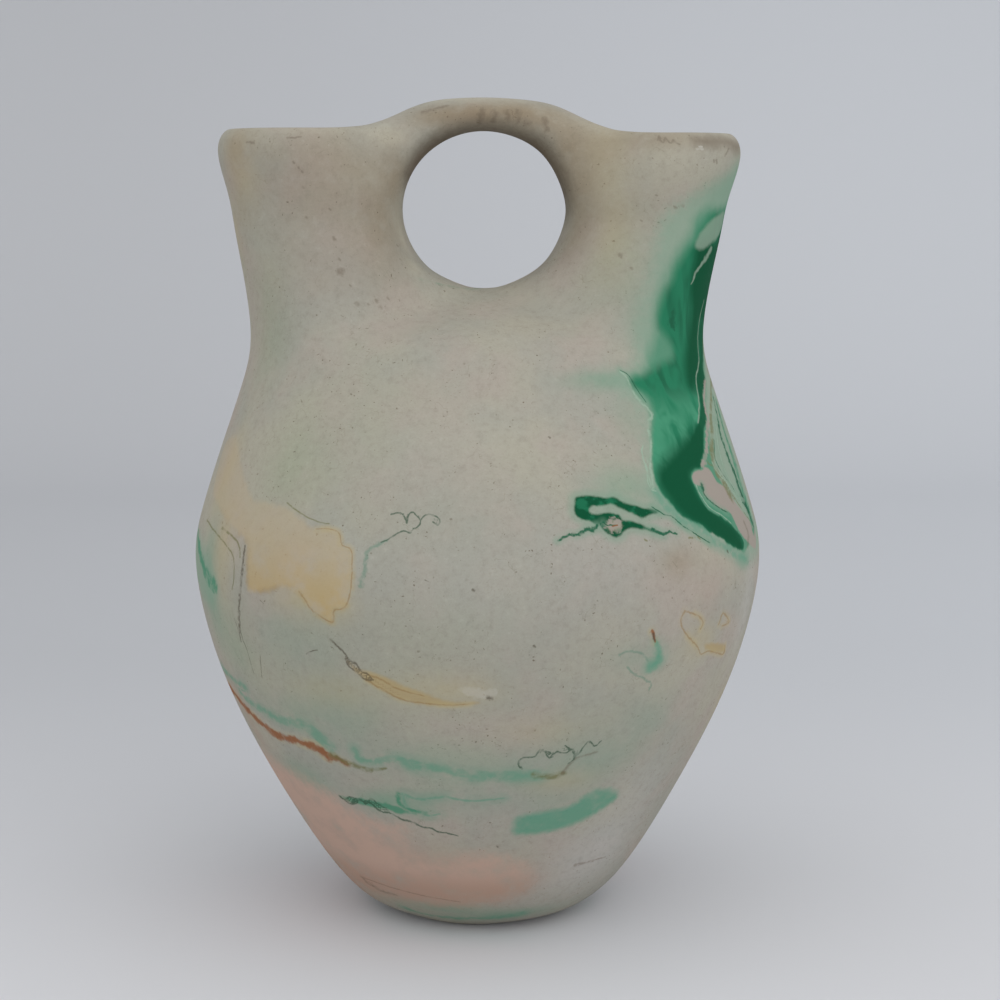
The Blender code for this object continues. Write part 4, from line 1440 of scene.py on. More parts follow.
for field, place, across, up, strength in dabs:
    values = strengths.setdefault(field, np.zeros(len(points)))
    aside = np.linalg.norm(points[:, :2] - place[:2], axis=1) / across
    above = (points[:, 2] - place[2]) / up
    touch = strength * np.exp(-(aside**2 + above**2)) * outside
    values[:] = 1 - (1 - values) * (1 - touch)
print(len(points), "points;", sorted(patches), sorted(threads), sorted(strengths))

# %% [markdown]
# A dark brown band lines the hole under the handle. It is painted shade on the handle's rounded underside,
# together with the umber the clay carries there.
# Its edge follows the hole, so it is not drawn but worked out: how far a point lies beyond the hole's edge,
# less a width that depends on the angle round the hole, counted from straight up and clockwise as the camera
# sees it.

# %% Painted shade and brown under the handle
BROWN_ANGLES = (-85, -65, -53, -38, -25, -13, 0, 12, 23, 38, 56, 76, 92, 112)
BROWN_WIDTHS = (-2.5, 1.6, 2.2, 2.2, 1.8, 1.3, 1.0, 1.0, 1.4, 2.2, 1.6, 1.0, 0.4, -2.5)

across = (points[:, 0] * MM - HOLE_SHIFT) / (HOLE_WIDTH / 2)
rise = (points[:, 2] * MM - HOLE_MIDDLE) / (HOLE_HEIGHT / 2)
beyond_hole = (np.hypot(across, rise) - 1) * HOLE_HEIGHT / 2 / MM
brown_width = np.interp(np.degrees(np.arctan2(across, rise)), BROWN_ANGLES, BROWN_WIDTHS)
# painted shade and brown under the handle, stored as a patch
patches["shade_and_brown_under_handle"] = np.where(outside, np.minimum(beyond_hole - brown_width, FAR), FAR)
print(int((patches["shade_and_brown_under_handle"] < 0).sum()), "points are brown")

# %% [markdown]
# The painted skin is now stored as a mesh with one attribute for each kind of paint. An attribute is
# a list of numbers, one for each point, that a shader can read by name.

# %% Painted skin
skin_mesh = bpy.data.meshes.new("painted_skin")
for face in clay.faces:
    face.smooth = True
clay.to_mesh(skin_mesh)
clay.free()


def store(name, kind, slot, values):
    attribute = skin_mesh.attributes.new(name, kind, "POINT")
    attribute.data.foreach_set(slot, np.ascontiguousarray(values, dtype=np.float32).ravel())


for field, values in patches.items():
    store(field + "_patch", "FLOAT", "value", values)
for field, (values, offsets) in threads.items():
    store(field + "_gap", "FLOAT", "value", values)
    store(field + "_way", "FLOAT_VECTOR", "vector", offsets)
for field, values in strengths.items():
    store(field, "FLOAT", "value", values)
print(len(skin_mesh.attributes), "attributes on the skin")

# %% [markdown]
# A potter lutes this vase from four pieces: the belly with its neck, two spouts and a handle. The
# skin is parted at the same joints, taken from the measured nodes, and each piece is closed at its
# cuts. After firing no seam shows, so the pieces meet without a gap and share their shading. One more
# cut at the table's height grinds the foot flat, so that the vase stands.

# %% Four luted pieces
ANY_SIDE = Vector((1, 0, 0))
CUT_TOLERANCE = 1e-7

joint_height = (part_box("body")[1].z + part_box("left_spout")[0].z) / 2
hole_middle = Vector((HOLE_SHIFT, 0, HOLE_MIDDLE))
joint = Vector((0, 0, joint_height))
ground = Vector((0, 0, 0))
up = Vector((0, 0, 1))
sine = math.sin(HANDLE_JOINT_ANGLE)
cosine = math.cos(HANDLE_JOINT_ANGLE)
right_of_handle = Vector((cosine, 0, -sine))
left_of_handle = Vector((-cosine, 0, -sine))


def cut_away(mesh, place, side):
    """Removes what lies on one side of a plane and closes the cut with flat faces."""
    made = bmesh.ops.bisect_plane(
        mesh, geom=mesh.verts[:] + mesh.edges[:] + mesh.faces[:], dist=CUT_TOLERANCE,
        plane_co=place, plane_no=side, clear_outer=True,
    )
    edges = [part for part in made["geom_cut"] if isinstance(part, bmesh.types.BMEdge)]
    filled = bmesh.ops.triangle_fill(mesh, edges=edges, use_beauty=True, normal=side)
    for part in filled["geom"]:
        if isinstance(part, bmesh.types.BMFace):
            part.smooth = False
            part.normal_update()
            if part.normal.dot(side) < 0:
                part.normal_flip()


def shade_like_skin(mesh):
    """Shades the skin by the direction it carries, and leaves the flat cuts flat."""
    directions = np.empty(len(mesh.vertices) * 3, dtype=np.float32)
    mesh.attributes["facing"].data.foreach_get("vector", directions)
    corners = np.empty(len(mesh.loops), dtype=np.int32)
    mesh.loops.foreach_get("vertex_index", corners)
    directions = directions.reshape(-1, 3)[corners]
    for face in mesh.polygons:
        if not face.use_smooth:
            directions[list(face.loop_indices)] = 0
    mesh.normals_split_custom_set(directions.tolist())


def luted_piece(name, node, cuts):
    """One piece of the vase, cut from the skin, that stands for a measured node."""
    part = bmesh.new()
    part.from_mesh(skin_mesh)
    for place, side in cuts:
        cut_away(part, place, side)
    mesh = bpy.data.meshes.new(name)
    part.to_mesh(mesh)
    part.free()
    shade_like_skin(mesh)
    piece = bpy.data.objects.new(name, mesh)
    bpy.context.scene.collection.objects.link(piece)
    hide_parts(node)
    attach(piece, "root")
    print(name, "has", len(mesh.polygons), "faces")
    return piece


vase = [
    luted_piece("clay_body", "body", [(joint, up), (ground, -up)]),
    luted_piece(
        "clay_left_spout", "left_spout",
        [(joint, -up), (hole_middle, ANY_SIDE), (hole_middle, -left_of_handle)],
    ),
    luted_piece(
        "clay_right_spout", "right_spout",
        [(joint, -up), (hole_middle, -ANY_SIDE), (hole_middle, -right_of_handle)],
    ),
    luted_piece(
        "clay_handle", "handle",
        [(joint, -up), (hole_middle, right_of_handle), (hole_middle, left_of_handle)],
    ),
]

# %% [markdown]
# One recipe of shader nodes paints all four pieces. Its colours are given as a screen shows them, from
# 0 to 255. A screen's numbers rise in a straight line near black and in a curve above it, and the
# shader wants plain amounts of light.

# %% Colours as a screen shows them
FULL = 255
STRAIGHT_UNTIL = 0.04045
STRAIGHT_SLOPE = 12.92
CURVE_OFFSET = 0.055
CURVE_POWER = 2.4


def light_of(value):
    share = value / FULL
    if share <= STRAIGHT_UNTIL:
        return share / STRAIGHT_SLOPE
    return ((share + CURVE_OFFSET) / (1 + CURVE_OFFSET)) ** CURVE_POWER


def seen_colour(red, green, blue):
    """Colour for a shader from the numbers that a screen would show."""
    return (light_of(red), light_of(green), light_of(blue), 1)


print("a mid grey of 128 holds", round(light_of(128), 3), "of the light of white")

# %% [markdown]
# The mixer below keeps the recipe readable: each call adds a node and hands back its output. Times,
# plus and scaled are sums, a step turns a distance or a noise into a cover from 0 to 1, and over lays
# one colour on another. The Mix node's sockets for colours are found by their place in its list.

# %% Mixer
MIX_COVER = 0
MIX_BELOW = 6
MIX_ABOVE = 7
MIX_RESULT = 2


class Mixer:
    """A material's node tree with short calls for its nodes."""

    def __init__(self, name):
        self.material = bpy.data.materials.new(name)
        self.material.use_nodes = True
        self.tree = self.material.node_tree
        self.shader = self.tree.nodes["Principled BSDF"]
        self.place = self.add("ShaderNodeTexCoord").outputs["Object"]

    def add(self, kind, **settings):
        node = self.tree.nodes.new(kind)
        for name, value in settings.items():
            setattr(node, name, value)
        return node

    def join(self, socket, value):
        if isinstance(value, bpy.types.NodeSocket):
            self.tree.links.new(value, socket)
        else:
            socket.default_value = value

    def maths(self, operation, first, second=0.0, third=0.0):
        node = self.add("ShaderNodeMath", operation=operation)
        for socket, value in zip(node.inputs, (first, second, third)):
            self.join(socket, value)
        return node.outputs[0]

    def times(self, first, second):
        return self.maths("MULTIPLY", first, second)

    def plus(self, first, second):
        return self.maths("ADD", first, second)

    def scaled(self, value, factor, shift):
        return self.maths("MULTIPLY_ADD", value, factor, shift)

    def number(self, name):
        return self.add("ShaderNodeAttribute", attribute_name=name).outputs["Fac"]

    def step(self, value, low, high):
        """Smooth run from 0 at low to 1 at high."""
        node = self.add("ShaderNodeMapRange", interpolation_type="SMOOTHSTEP")
        self.join(node.inputs["Value"], value)
        self.join(node.inputs["From Min"], low)
        self.join(node.inputs["From Max"], high)
        return node.outputs["Result"]

    def noise(self, size, detail=2.0, roughness=0.5, shift=0.0, stretch=(1, 1, 1), swirl=0.0):
        """Blotches of a size in millimetres, about 0.5. A shift keeps two noises from matching."""
        moved = self.add("ShaderNodeMapping")
        self.join(moved.inputs["Vector"], self.place)
        self.join(moved.inputs["Location"], (shift, shift, shift))
        self.join(moved.inputs["Scale"], tuple(part / (size * MM) for part in stretch))
        node = self.add("ShaderNodeTexNoise")
        self.join(node.inputs["Vector"], moved.outputs[0])
        self.join(node.inputs["Scale"], 1.0)
        self.join(node.inputs["Detail"], detail)
        self.join(node.inputs["Roughness"], roughness)
        self.join(node.inputs["Distortion"], swirl)
        return node.outputs["Fac"]

    def over(self, below, colour, cover):
        """A colour laid over another, as far as cover says."""
        node = self.add("ShaderNodeMix", data_type="RGBA")
        self.join(node.inputs[MIX_COVER], cover)
        self.join(node.inputs[MIX_BELOW], below)
        self.join(node.inputs[MIX_ABOVE], colour)
        return node.outputs[MIX_RESULT]

# %% [markdown]
# A glaze recipe is a mixer that also knows this vase's paint: ragged edges, threads that wander,
# veins, and colour that bled out.

# %% Glaze recipe
JITTER_SHIFTS = (11.3, 17.9, 23.1)
NOISE_MIDDLE = 0.5
THREAD_NEAR = 0.5
THREAD_FAR = 0.8


class Recipe(Mixer):
    """A mixer that adds the steps of a glaze."""

    def centred(self, blotches, reach):
        """Blotches as a number about 0, up to about reach."""
        return self.scaled(blotches, 2 * reach, -reach)

    def jitter(self, size, reach):
        """A direction that changes over blotches of a size in millimetres, up to about reach long."""
        parts = [self.noise(size, detail=2, shift=shift) for shift in JITTER_SHIFTS]
        joined = self.add("ShaderNodeCombineXYZ")
        for socket, part in zip(joined.inputs, parts):
            self.join(socket, self.centred(part, 2 * reach))
        return joined.outputs[0]

    def vein(self, blotches, width):
        """A hair-thin line that follows the places where a noise passes through one half."""
        gap = self.maths("ABSOLUTE", self.maths("SUBTRACT", blotches, NOISE_MIDDLE))
        return self.step(gap, width, 0)

    def patch(self, name, soft, ragged):
        """Cover of a painted patch, with a soft edge that wanders, both in millimetres."""
        edge = self.plus(self.number(name + "_patch"), ragged)
        return self.step(edge, soft, self.times(soft, -1.0))

    def thread(self, name, wobble, soft):
        """Cover of painted threads, whose edge is soft by a share of their half width."""
        way = self.add("ShaderNodeAttribute", attribute_name=name + "_way").outputs["Vector"]
        moved = self.add("ShaderNodeVectorMath", operation="ADD")
        self.join(moved.inputs[0], way)
        self.join(moved.inputs[1], wobble)
        length = self.add("ShaderNodeVectorMath", operation="LENGTH")
        self.join(length.inputs[0], moved.outputs["Vector"])
        line = self.step(length.outputs["Value"], 1 + soft, 1 - soft)
        return self.times(line, self.step(self.number(name + "_gap"), THREAD_FAR, THREAD_NEAR))

    def halo(self, name, reach):
        """Colour that bled out of painted threads, as far as reach millimetres."""
        return self.step(self.number(name + "_gap"), reach, 0)


glaze = Recipe("marbled_clay")
print("an empty recipe has", len(glaze.tree.nodes), "nodes")

# %% [markdown]
# The clay itself is a chalky beige that drifts between grey and rose. Large soft noise makes that
# drift. The other noises made here are shared by all the paint: clouds that break up the washes, a
# ragged edge for patches, and three jitters that let threads wander, from a tight wobble to a slow one.

# %% Bare clay
CLAY = seen_colour(167, 163, 149)
CLAY_GREY = seen_colour(159, 158, 148)
CLAY_ROSE = seen_colour(167, 159, 149)

drift = glaze.noise(26, detail=3)
warmth = glaze.noise(17, detail=4, shift=3.1)
cloud = glaze.noise(7, detail=5, roughness=0.6, shift=1.7)
ragged = glaze.centred(glaze.noise(1.6, detail=4, roughness=0.65, shift=5.3), 1.0)
wobble = glaze.jitter(1.1, 0.75)
sway = glaze.jitter(2.0, 0.65)
gentle = glaze.jitter(3.5, 0.25)
breaks = glaze.step(glaze.noise(2.4, detail=3, roughness=0.6, shift=4.7), 0.34, 0.52)
colour = glaze.over(CLAY, CLAY_GREY, glaze.step(drift, 0.35, 0.65))
colour = glaze.over(colour, CLAY_ROSE, glaze.step(warmth, 0.42, 0.7))
print(len(glaze.tree.nodes), "nodes for the bare clay")

# %% [markdown]
# Five quiet tints lie where the dabs are: ash, cream, chalk, celadon and smoky umber. The cream is mostly
# painted highlights, the chalk mostly painted light, and the umber partly painted shade. Each reads its
# strength from the skin's numbers, and the clouds break it up a little.

# %% Quiet washes, painted light and painted shade
ASH = seen_colour(161, 156, 152)
# cream tint, mostly for painted highlights
CREAM_AND_HIGHLIGHT = seen_colour(182, 178, 162)
# chalk tint, mostly for painted light
CHALK_AND_PAINTED_LIGHT = seen_colour(184, 182, 178)
CELADON = seen_colour(148, 156, 134)
# umber tint, partly for painted shade round the hole
UMBER = seen_colour(137, 121, 98)
QUIET_TINTS = (
    ("ash", ASH, 0.9),
    ("cream_and_highlight", CREAM_AND_HIGHLIGHT, 0.8),
    ("chalk_and_painted_light", CHALK_AND_PAINTED_LIGHT, 0.9),
    ("celadon", CELADON, 0.9),
    ("umber_and_shade", UMBER, 0.9),
)


def tinted(colour, name, tint, strength):
    """A soft tint where dabs lie, broken up a little by the clouds; the cream, chalk and umber tints are
    partly painted light and shade.
    """
    cover = glaze.times(glaze.number(name), glaze.step(cloud, 0.0, 0.55))
    return glaze.over(colour, tint, glaze.times(cover, strength))


for name, tint, strength in QUIET_TINTS:
    colour = tinted(colour, name, tint, strength)
print(len(glaze.tree.nodes), "nodes with the quiet washes")

# %% [markdown]
# Small sharp noise makes the dark and pale grains that show close up. Hair-fine veins follow the line
# where a larger noise passes through its middle, and pits are the peaks of a fine noise. Both keep to
# clusters, because a biscuit surface wears in places and not all over.

# %% Grain, veins and pits
GRAIN_DARK = seen_colour(112, 104, 92)
GRAIN_PALE = seen_colour(204, 199, 188)
VEIN = seen_colour(122, 116, 98)
# this dark brown paints the shade under the handle, and the pits
DARK_BROWN = seen_colour(98, 84, 67)
VEIN_WIDTH = 0.006
VEIN_STRENGTH = 0.35
PIT_STRENGTH = 0.75

grain = glaze.noise(0.5, detail=3, roughness=0.7, shift=7.7)
rubbed = glaze.noise(1.9, detail=4, roughness=0.7, shift=2.9)
pores = glaze.noise(0.75, detail=1, shift=9.1)
clusters = glaze.step(cloud, 0.42, 0.62)
SPECKLES = (
    (GRAIN_DARK, rubbed, 0.45, 0.8, 0.24),
    (GRAIN_PALE, rubbed, 0.45, 0.2, 0.14),
    (GRAIN_PALE, grain, 0.4, 0.25, 0.14),
    (GRAIN_DARK, grain, 0.5, 0.75, 0.15),
)
for tint, blotches, begins, full, strength in SPECKLES:
    colour = glaze.over(colour, tint, glaze.times(glaze.step(blotches, begins, full), strength))
veins = glaze.vein(glaze.noise(9, detail=3, roughness=0.55, shift=6.1), VEIN_WIDTH)
veins = glaze.times(veins, glaze.times(clusters, breaks))
colour = glaze.over(colour, VEIN, glaze.times(veins, VEIN_STRENGTH))
pits = glaze.times(glaze.step(pores, 0.7, 0.76), clusters)
colour = glaze.over(colour, DARK_BROWN, glaze.times(pits, PIT_STRENGTH))
print(len(glaze.tree.nodes), "nodes with the grain")

# %% [markdown]
# The washes of mineral colour come next: terracotta, ochre, teal and green haze. The helpers below
# are the three ways in which stronger paint is laid over what is below it.

# %% Colour washes
EARTH = seen_colour(168, 140, 124)
OCHRE_WASH = seen_colour(182, 165, 120)
TEAL_WASH = seen_colour(126, 152, 134)
GREEN_WASH = seen_colour(116, 152, 130)
COLOUR_WASHES = (
    ("earth_haze", EARTH, 0.9),
    ("ochre_haze", OCHRE_WASH, 0.8),
    ("teal_haze", TEAL_WASH, 0.9),
    ("green_haze", GREEN_WASH, 0.9),
)
POUR_CLEARANCE = 1.0

for name, tint, strength in COLOUR_WASHES:
    colour = tinted(colour, name, tint, strength)
beside_pour = glaze.step(glaze.number("strong_green_patch"), 0, POUR_CLEARANCE)


def laid(colour, name, tint, soft, wander, strength=1.0):
    """A painted patch over what is below, as strong as a number or a noise says."""
    cover = glaze.patch(name, soft, glaze.times(ragged, wander))
    return glaze.over(colour, tint, glaze.times(cover, strength))


def drawn(colour, name, tint, strength=1.0, soft=0.45, whole=0.5, way=wobble):
    """Painted threads over what is below. Whole says how much of them stays where they break up."""
    cover = glaze.thread(name, way, soft)
    broken = glaze.scaled(breaks, 1 - whole, whole)
    return glaze.over(colour, tint, glaze.times(cover, glaze.times(broken, strength)))


def bled(colour, name, tint, reach, strength):
    """A thin stain round painted threads, patchy like the clouds, and left out within the pour."""
    cover = glaze.times(glaze.halo(name, reach), glaze.step(cloud, 0.3, 0.65))
    cover = glaze.times(cover, beside_pour)
    return glaze.over(colour, tint, glaze.times(cover, strength))


print(len(glaze.tree.nodes), "nodes with the colour washes")

# %% [markdown]
# The glaze of the pour ran down, so its noise is stretched along the fall. The same streaks drag the
# layers' edges out, and the edges are softer above than below, where the glaze came to rest. In one
# belt the glaze ran thin and is lighter.

# %% Streaks in the pour
FLOW_START = 0.150
FLOW_END = 0.115
SOFT_ABOVE = 2.5
SOFT_BELOW = 0.5
STREAK_REACH = 1.5
STREAK_STRETCH = (1, 1, 0.16)
THIN_LOW = 0.120
THIN_HIGH = 0.132
THIN_FADE = 0.009

split_place = glaze.add("ShaderNodeSeparateXYZ")
glaze.join(split_place.inputs[0], glaze.place)
height = split_place.outputs["Z"]
streaks = glaze.noise(4.5, detail=2, roughness=0.55, shift=8.3, stretch=STREAK_STRETCH, swirl=0.6)
fall = glaze.scaled(glaze.step(height, FLOW_END, FLOW_START), SOFT_ABOVE - SOFT_BELOW, SOFT_BELOW)
streaked = glaze.plus(glaze.centred(streaks, STREAK_REACH), glaze.times(ragged, 0.4))
above = glaze.step(height, THIN_LOW - THIN_FADE, THIN_LOW)
below = glaze.step(height, THIN_HIGH + THIN_FADE, THIN_HIGH)
thin_glaze = glaze.times(glaze.times(above, below), glaze.step(streaks, 0.3, 0.6))
print(len(glaze.tree.nodes), "nodes with the streaks")

# %% [markdown]
# The pour is laid in four layers, from the pale haze, which fades over millimetres, to the deep green.

# %% Layers of the pour
PALE_GREEN = seen_colour(132, 158, 139)
MID_GREEN = seen_colour(74, 136, 108)
STRONG_GREEN = seen_colour(38, 118, 86)
LIGHT_FLOW = seen_colour(68, 142, 110)
DARK_FLOW = seen_colour(30, 98, 70)
DEEP_GREEN = seen_colour(8, 78, 50)
HOOK_BRIGHT = seen_colour(28, 106, 74)
LOBE_GREEN = seen_colour(132, 154, 136)
ISLAND_PINK = seen_colour(155, 147, 138)
DEEP_FADE = 4.0
DEEP_FULL = -1.2
HOOK_BLEEDING = 2.6

colour = laid(colour, "pale_green", PALE_GREEN, 3.4, 2.5, 0.75)
edge = glaze.patch("mid_green", fall, streaked)
colour = glaze.over(colour, MID_GREEN, glaze.times(edge, 0.85))
edge = glaze.patch("strong_green", glaze.times(fall, 0.8), glaze.times(streaked, 0.6))
flow = glaze.over(STRONG_GREEN, DARK_FLOW, glaze.step(streaks, 0.42, 0.64))
flow = glaze.over(flow, LIGHT_FLOW, thin_glaze)
colour = glaze.over(colour, flow, edge)
depth = glaze.plus(glaze.number("deep_green_patch"), glaze.times(streaked, 0.5))
depth = glaze.times(glaze.step(depth, DEEP_FADE, DEEP_FULL), edge)
colour = glaze.over(colour, DEEP_GREEN, depth)
colour = laid(colour, "margin", DEEP_GREEN, 0.5, 0.4, 0.9)
colour = laid(colour, "lobe", LOBE_GREEN, 0.8, 0.5, 0.8)
colour = laid(colour, "bare", ISLAND_PINK, 0.35, 0.5)
bleeding = glaze.times(glaze.step(glaze.number("hook_patch"), HOOK_BLEEDING, 0), 0.5)
colour = glaze.over(colour, GREEN_WASH, bleeding)
hook_green = glaze.over(HOOK_BRIGHT, DEEP_GREEN, breaks)
colour = laid(colour, "hook", hook_green, 0.4, 0.4)
print(len(glaze.tree.nodes), "nodes with the pour")

# %% [markdown]
# The stains follow. A drying stain leaves its colour at the edge, so the peach patch gets an ochre
# ring where the distance to its outline is small. It is richer in its lower half, where it dried last,
# and the terracotta stain is darker close to the foot.

# %% Stains
PEACH = seen_colour(178, 163, 137)
PEACH_DEEP = seen_colour(180, 156, 106)
OCHRE = seen_colour(148, 124, 86)
EARTH_STAIN = seen_colour(186, 159, 144)
EARTH_LOW = seen_colour(174, 146, 130)
TEAL = seen_colour(92, 148, 124)
OCHRE_STAIN = seen_colour(168, 150, 112)
SCUFF = seen_colour(190, 187, 178)
RIM_BROWN = seen_colour(112, 100, 86)
EARTH_DARK_BELOW = 0.014
EARTH_PALE_ABOVE = 0.022
RING_WIDTH = 1.4
STAIN_TOP = 0.118
STAIN_LOW = 0.084

wet = glaze.step(height, STAIN_TOP, STAIN_LOW)
peach_tint = glaze.over(PEACH, PEACH_DEEP, glaze.times(wet, glaze.step(cloud, 0.3, 0.6)))
peach_cover = glaze.times(glaze.scaled(wet, 0.4, 0.45), glaze.step(cloud, -0.2, 0.5))
colour = laid(colour, "peach", peach_tint, 1.0, 1.2, peach_cover)
ring = glaze.plus(glaze.number("peach_patch"), glaze.times(ragged, 0.9))
ring = glaze.maths("ABSOLUTE", ring)
ring = glaze.times(glaze.step(ring, RING_WIDTH, 0), glaze.step(cloud, 0.4, 0.6))
colour = glaze.over(colour, OCHRE, glaze.times(ring, glaze.times(wet, 0.4)))
earth_tint = glaze.over(EARTH_LOW, EARTH_STAIN, glaze.step(height, EARTH_DARK_BELOW, EARTH_PALE_ABOVE))
colour = laid(colour, "earth", earth_tint, 4.5, 3.5, glaze.step(cloud, 0.15, 0.6))
colour = laid(colour, "teal", TEAL, 1.4, 0.9, glaze.times(glaze.step(cloud, 0.0, 0.55), 0.88))
colour = laid(colour, "ochre", OCHRE_STAIN, 0.7, 0.7, 0.85)
colour = laid(colour, "scuff", SCUFF, 0.5, 1.2, 0.35)
# painted shade under the handle, in dark brown over its umber
colour = laid(colour, "shade_and_brown_under_handle", DARK_BROWN, 2.3, 0.8, 0.85)
colour = laid(colour, "umber_stain", RIM_BROWN, 1.8, 1.0, 0.6)
print(len(glaze.tree.nodes), "nodes with the stains")

# %% [markdown]
# Threads lie on top, each group in its own colour. First a thin stain bleeds out of some of them.
# Soft says how blurred a thread's edge is, whole says how much of it stays where it breaks up, and the
# way says how it wanders: a broad thread sways, the deep green keeps its line, the rest wobble.

# %% Threads of colour
CREAM_THREAD = seen_colour(150, 174, 154)
TEAL_SHADE = seen_colour(98, 134, 116)
RUST = seen_colour(140, 92, 62)
OLIVE = seen_colour(112, 112, 74)
DARK_GREEN = seen_colour(30, 92, 66)
HAIRLINE = seen_colour(84, 76, 62)
INK = seen_colour(58, 84, 66)

BLEEDINGS = (
    ("teal", TEAL_WASH, 2.8, 0.6),
    ("deep_green", GREEN_WASH, 3.2, 0.8),
    ("dark_green", GREEN_WASH, 1.6, 0.5),
    ("ochre", OCHRE_WASH, 1.4, 0.4),
    ("rust", OCHRE_WASH, 1.6, 0.5),
)
for name, tint, reach, strength in BLEEDINGS:
    colour = bled(colour, name, tint, reach, strength)
colour = drawn(colour, "teal", TEAL, 0.6, soft=0.85, whole=0.3, way=sway)
colour = drawn(colour, "celadon_line", TEAL_SHADE, 0.6, soft=0.9, whole=0.3)
colour = drawn(colour, "mid_green", MID_GREEN, 0.9, soft=0.7, way=sway)
colour = drawn(colour, "deep_green", DEEP_GREEN, soft=0.4, whole=0.9, way=gentle)
colour = drawn(colour, "bare", ISLAND_PINK, 0.9, whole=0.6)
colour = drawn(colour, "dark_green", DARK_GREEN, 0.95, soft=0.6, whole=0.3)
colour = drawn(colour, "ochre", OCHRE, 0.75, soft=0.8, whole=0.3)
colour = drawn(colour, "rust", RUST, 0.95, soft=0.6, whole=0.8, way=sway)
colour = drawn(colour, "olive", OLIVE, 0.75, soft=0.7, whole=0.3, way=sway)
colour = drawn(colour, "lobe", LOBE_GREEN, 0.85, soft=0.6, whole=0.9, way=sway)
colour = drawn(colour, "cream_and_highlight", CREAM_THREAD, 0.85, soft=0.7, whole=0.3)
# brown smudges and pits, and the painted shadow under the left lip
colour = drawn(colour, "smudge_and_shadow", RIM_BROWN, 0.55, soft=0.9)
colour = drawn(colour, "ink", INK, 0.8, soft=0.7, whole=0.4)
colour = drawn(colour, "hairline", HAIRLINE, 0.75, soft=0.8, whole=0.3)
colour = drawn(colour, "scuff", SCUFF, 0.8, soft=0.7)
print(len(glaze.tree.nodes), "nodes with the threads")

# %% [markdown]
# Last come the inside and the surface. The paint ends in a ragged edge just inside the lips, and
# below it the clay is bare. The clay is matt, and a fine bump gives it the tooth of biscuit.

# %% Inside and surface
CLAY_INSIDE = seen_colour(154, 138, 120)
INSIDE_SOFT = 0.25
INSIDE_RAGGED = 0.2
ROUGHNESS = 0.88
SPECULAR = 0.12
TOOTH_HEIGHT = 0.05
TOOTH_STRENGTH = 0.5
CLOUDS_IN_TOOTH = 3.0

within = glaze.plus(glaze.number("inside"), glaze.times(ragged, INSIDE_RAGGED))
inner = glaze.over(CLAY_INSIDE, UMBER, glaze.step(cloud, 0.45, 0.7))
inner_cover = glaze.step(within, MOST_INSIDE - INSIDE_SOFT, MOST_INSIDE + INSIDE_SOFT)
colour = glaze.over(colour, inner, inner_cover)
glaze.join(glaze.shader.inputs["Base Color"], colour)
glaze.join(glaze.shader.inputs["Roughness"], ROUGHNESS)
glaze.join(glaze.shader.inputs["Specular IOR Level"], SPECULAR)
tooth = glaze.add("ShaderNodeBump")
glaze.join(tooth.inputs["Strength"], TOOTH_STRENGTH)
glaze.join(tooth.inputs["Distance"], TOOTH_HEIGHT * MM)
glaze.join(tooth.inputs["Height"], glaze.plus(grain, glaze.times(cloud, CLOUDS_IN_TOOTH)))
glaze.join(glaze.shader.inputs["Normal"], tooth.outputs["Normal"])
for piece in vase:
    piece.data.materials.clear()
    piece.data.materials.append(glaze.material)
print(len(glaze.tree.nodes), "nodes in the glaze")

# %% [markdown]
# The setting is a plain table that curves up into a backdrop, so no corner shows. It takes the vase's
# soft shadow.

# %% Table and backdrop
FLOOR_NEAR = -1.6
FLOOR_FAR = 0.75
SWEEP_RADIUS = 0.45
BACKDROP_HEIGHT = 1.8
STAGE_HALF_WIDTH = 2.2
SWEEP_STEPS = 24

profile = [(FLOOR_NEAR, 0.0), (FLOOR_FAR, 0.0)]
for i in range(1, SWEEP_STEPS + 1):
    angle = math.pi / 2 * i / SWEEP_STEPS
    profile.append((
        FLOOR_FAR + SWEEP_RADIUS * math.sin(angle),
        SWEEP_RADIUS * (1 - math.cos(angle)),
    ))
profile.append((FLOOR_FAR + SWEEP_RADIUS, BACKDROP_HEIGHT))
stage_points = [(side, y, z) for y, z in profile for side in (-STAGE_HALF_WIDTH, STAGE_HALF_WIDTH)]
stage_faces = [(2 * i, 2 * i + 1, 2 * i + 3, 2 * i + 2) for i in range(len(profile) - 1)]
stage_mesh = bpy.data.meshes.new("table_and_backdrop")
stage_mesh.from_pydata(stage_points, [], stage_faces)
stage_mesh.shade_smooth()
stage = bpy.data.objects.new("table_and_backdrop", stage_mesh)
bpy.context.scene.collection.objects.link(stage)
print("the stage has", len(stage_faces), "strips")

# %% [markdown]
# The paper's pale blue grey deepens a little towards the back and the left, and is paler near the front:
# painted light and shade on the table and backdrop.

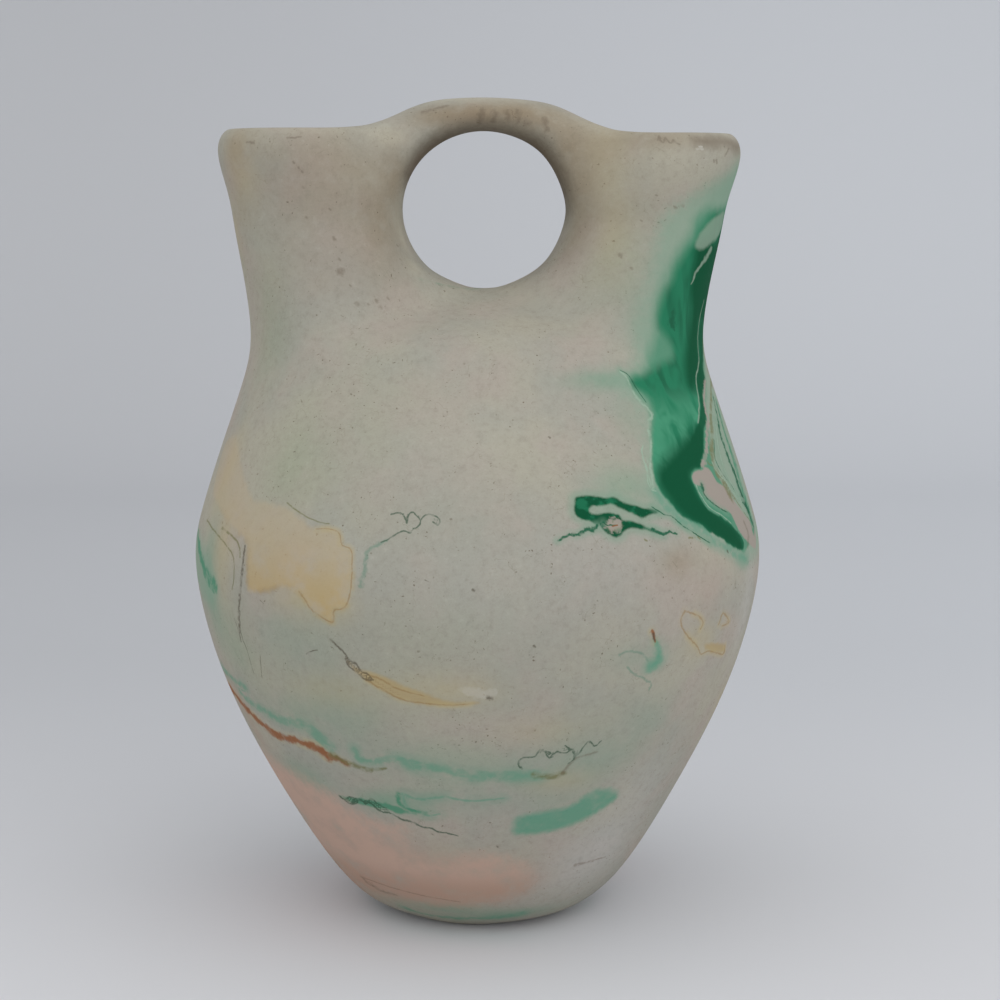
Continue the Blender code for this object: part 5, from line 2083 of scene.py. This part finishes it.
# %% Paper
PAPER_NEAR = seen_colour(214, 215, 219)
PAPER_FAR_LEFT = seen_colour(187, 189, 193)
PAPER_FAR_RIGHT = seen_colour(198, 201, 206)
PALE_UNTIL = -0.12
GREY_FROM = 0.32
DIM_SIDE = -0.3
LIGHT_SIDE = 0.4
PAPER_ROUGHNESS = 0.9
PAPER_SPECULAR = 0.1

paper = Mixer("pale_paper")
paper_place = paper.add("ShaderNodeSeparateXYZ")
paper.join(paper_place.inputs[0], paper.place)
# painted shade: darker towards the back and the left, painted light near the front
farness = paper.step(paper_place.outputs["Y"], PALE_UNTIL, GREY_FROM)
rightness = paper.step(paper_place.outputs["X"], DIM_SIDE, LIGHT_SIDE)
paper_far = paper.over(PAPER_FAR_LEFT, PAPER_FAR_RIGHT, rightness)
paper.join(paper.shader.inputs["Base Color"], paper.over(PAPER_NEAR, paper_far, farness))
paper.join(paper.shader.inputs["Roughness"], PAPER_ROUGHNESS)
paper.join(paper.shader.inputs["Specular IOR Level"], PAPER_SPECULAR)
stage_mesh.materials.append(paper.material)
print(len(paper.tree.nodes), "nodes in the paper")

# %% [markdown]
# Soft light comes from a wide lamp above and to the right of the camera, and the world fills the
# shadows from all sides, which is why the vase has no bright spots and only a faint shadow.

# %% Light
WORLD_STRENGTH = 0.98
KEY_POWER = 5.0
KEY_SIZE = 1.8
KEY_PLACE = Vector((0.8, -1.2, 0.95))
KEY_AIM = Vector((0, 0, 0.1))

world = bpy.data.worlds.new("soft_room")
world.use_nodes = True
sky = world.node_tree.nodes["Background"]
sky.inputs["Color"].default_value = (1, 1, 1, 1)
sky.inputs["Strength"].default_value = WORLD_STRENGTH
bpy.context.scene.world = world
lamp = bpy.data.lights.new("key", "AREA")
lamp.energy = KEY_POWER
lamp.size = KEY_SIZE
key = bpy.data.objects.new("key", lamp)
bpy.context.scene.collection.objects.link(key)
key.location = KEY_PLACE
key.rotation_euler = (KEY_AIM - KEY_PLACE).to_track_quat("-Z", "Y").to_euler()
bpy.context.scene.view_settings.view_transform = "Standard"
print("lamp at", [round(part, 2) for part in key.location])
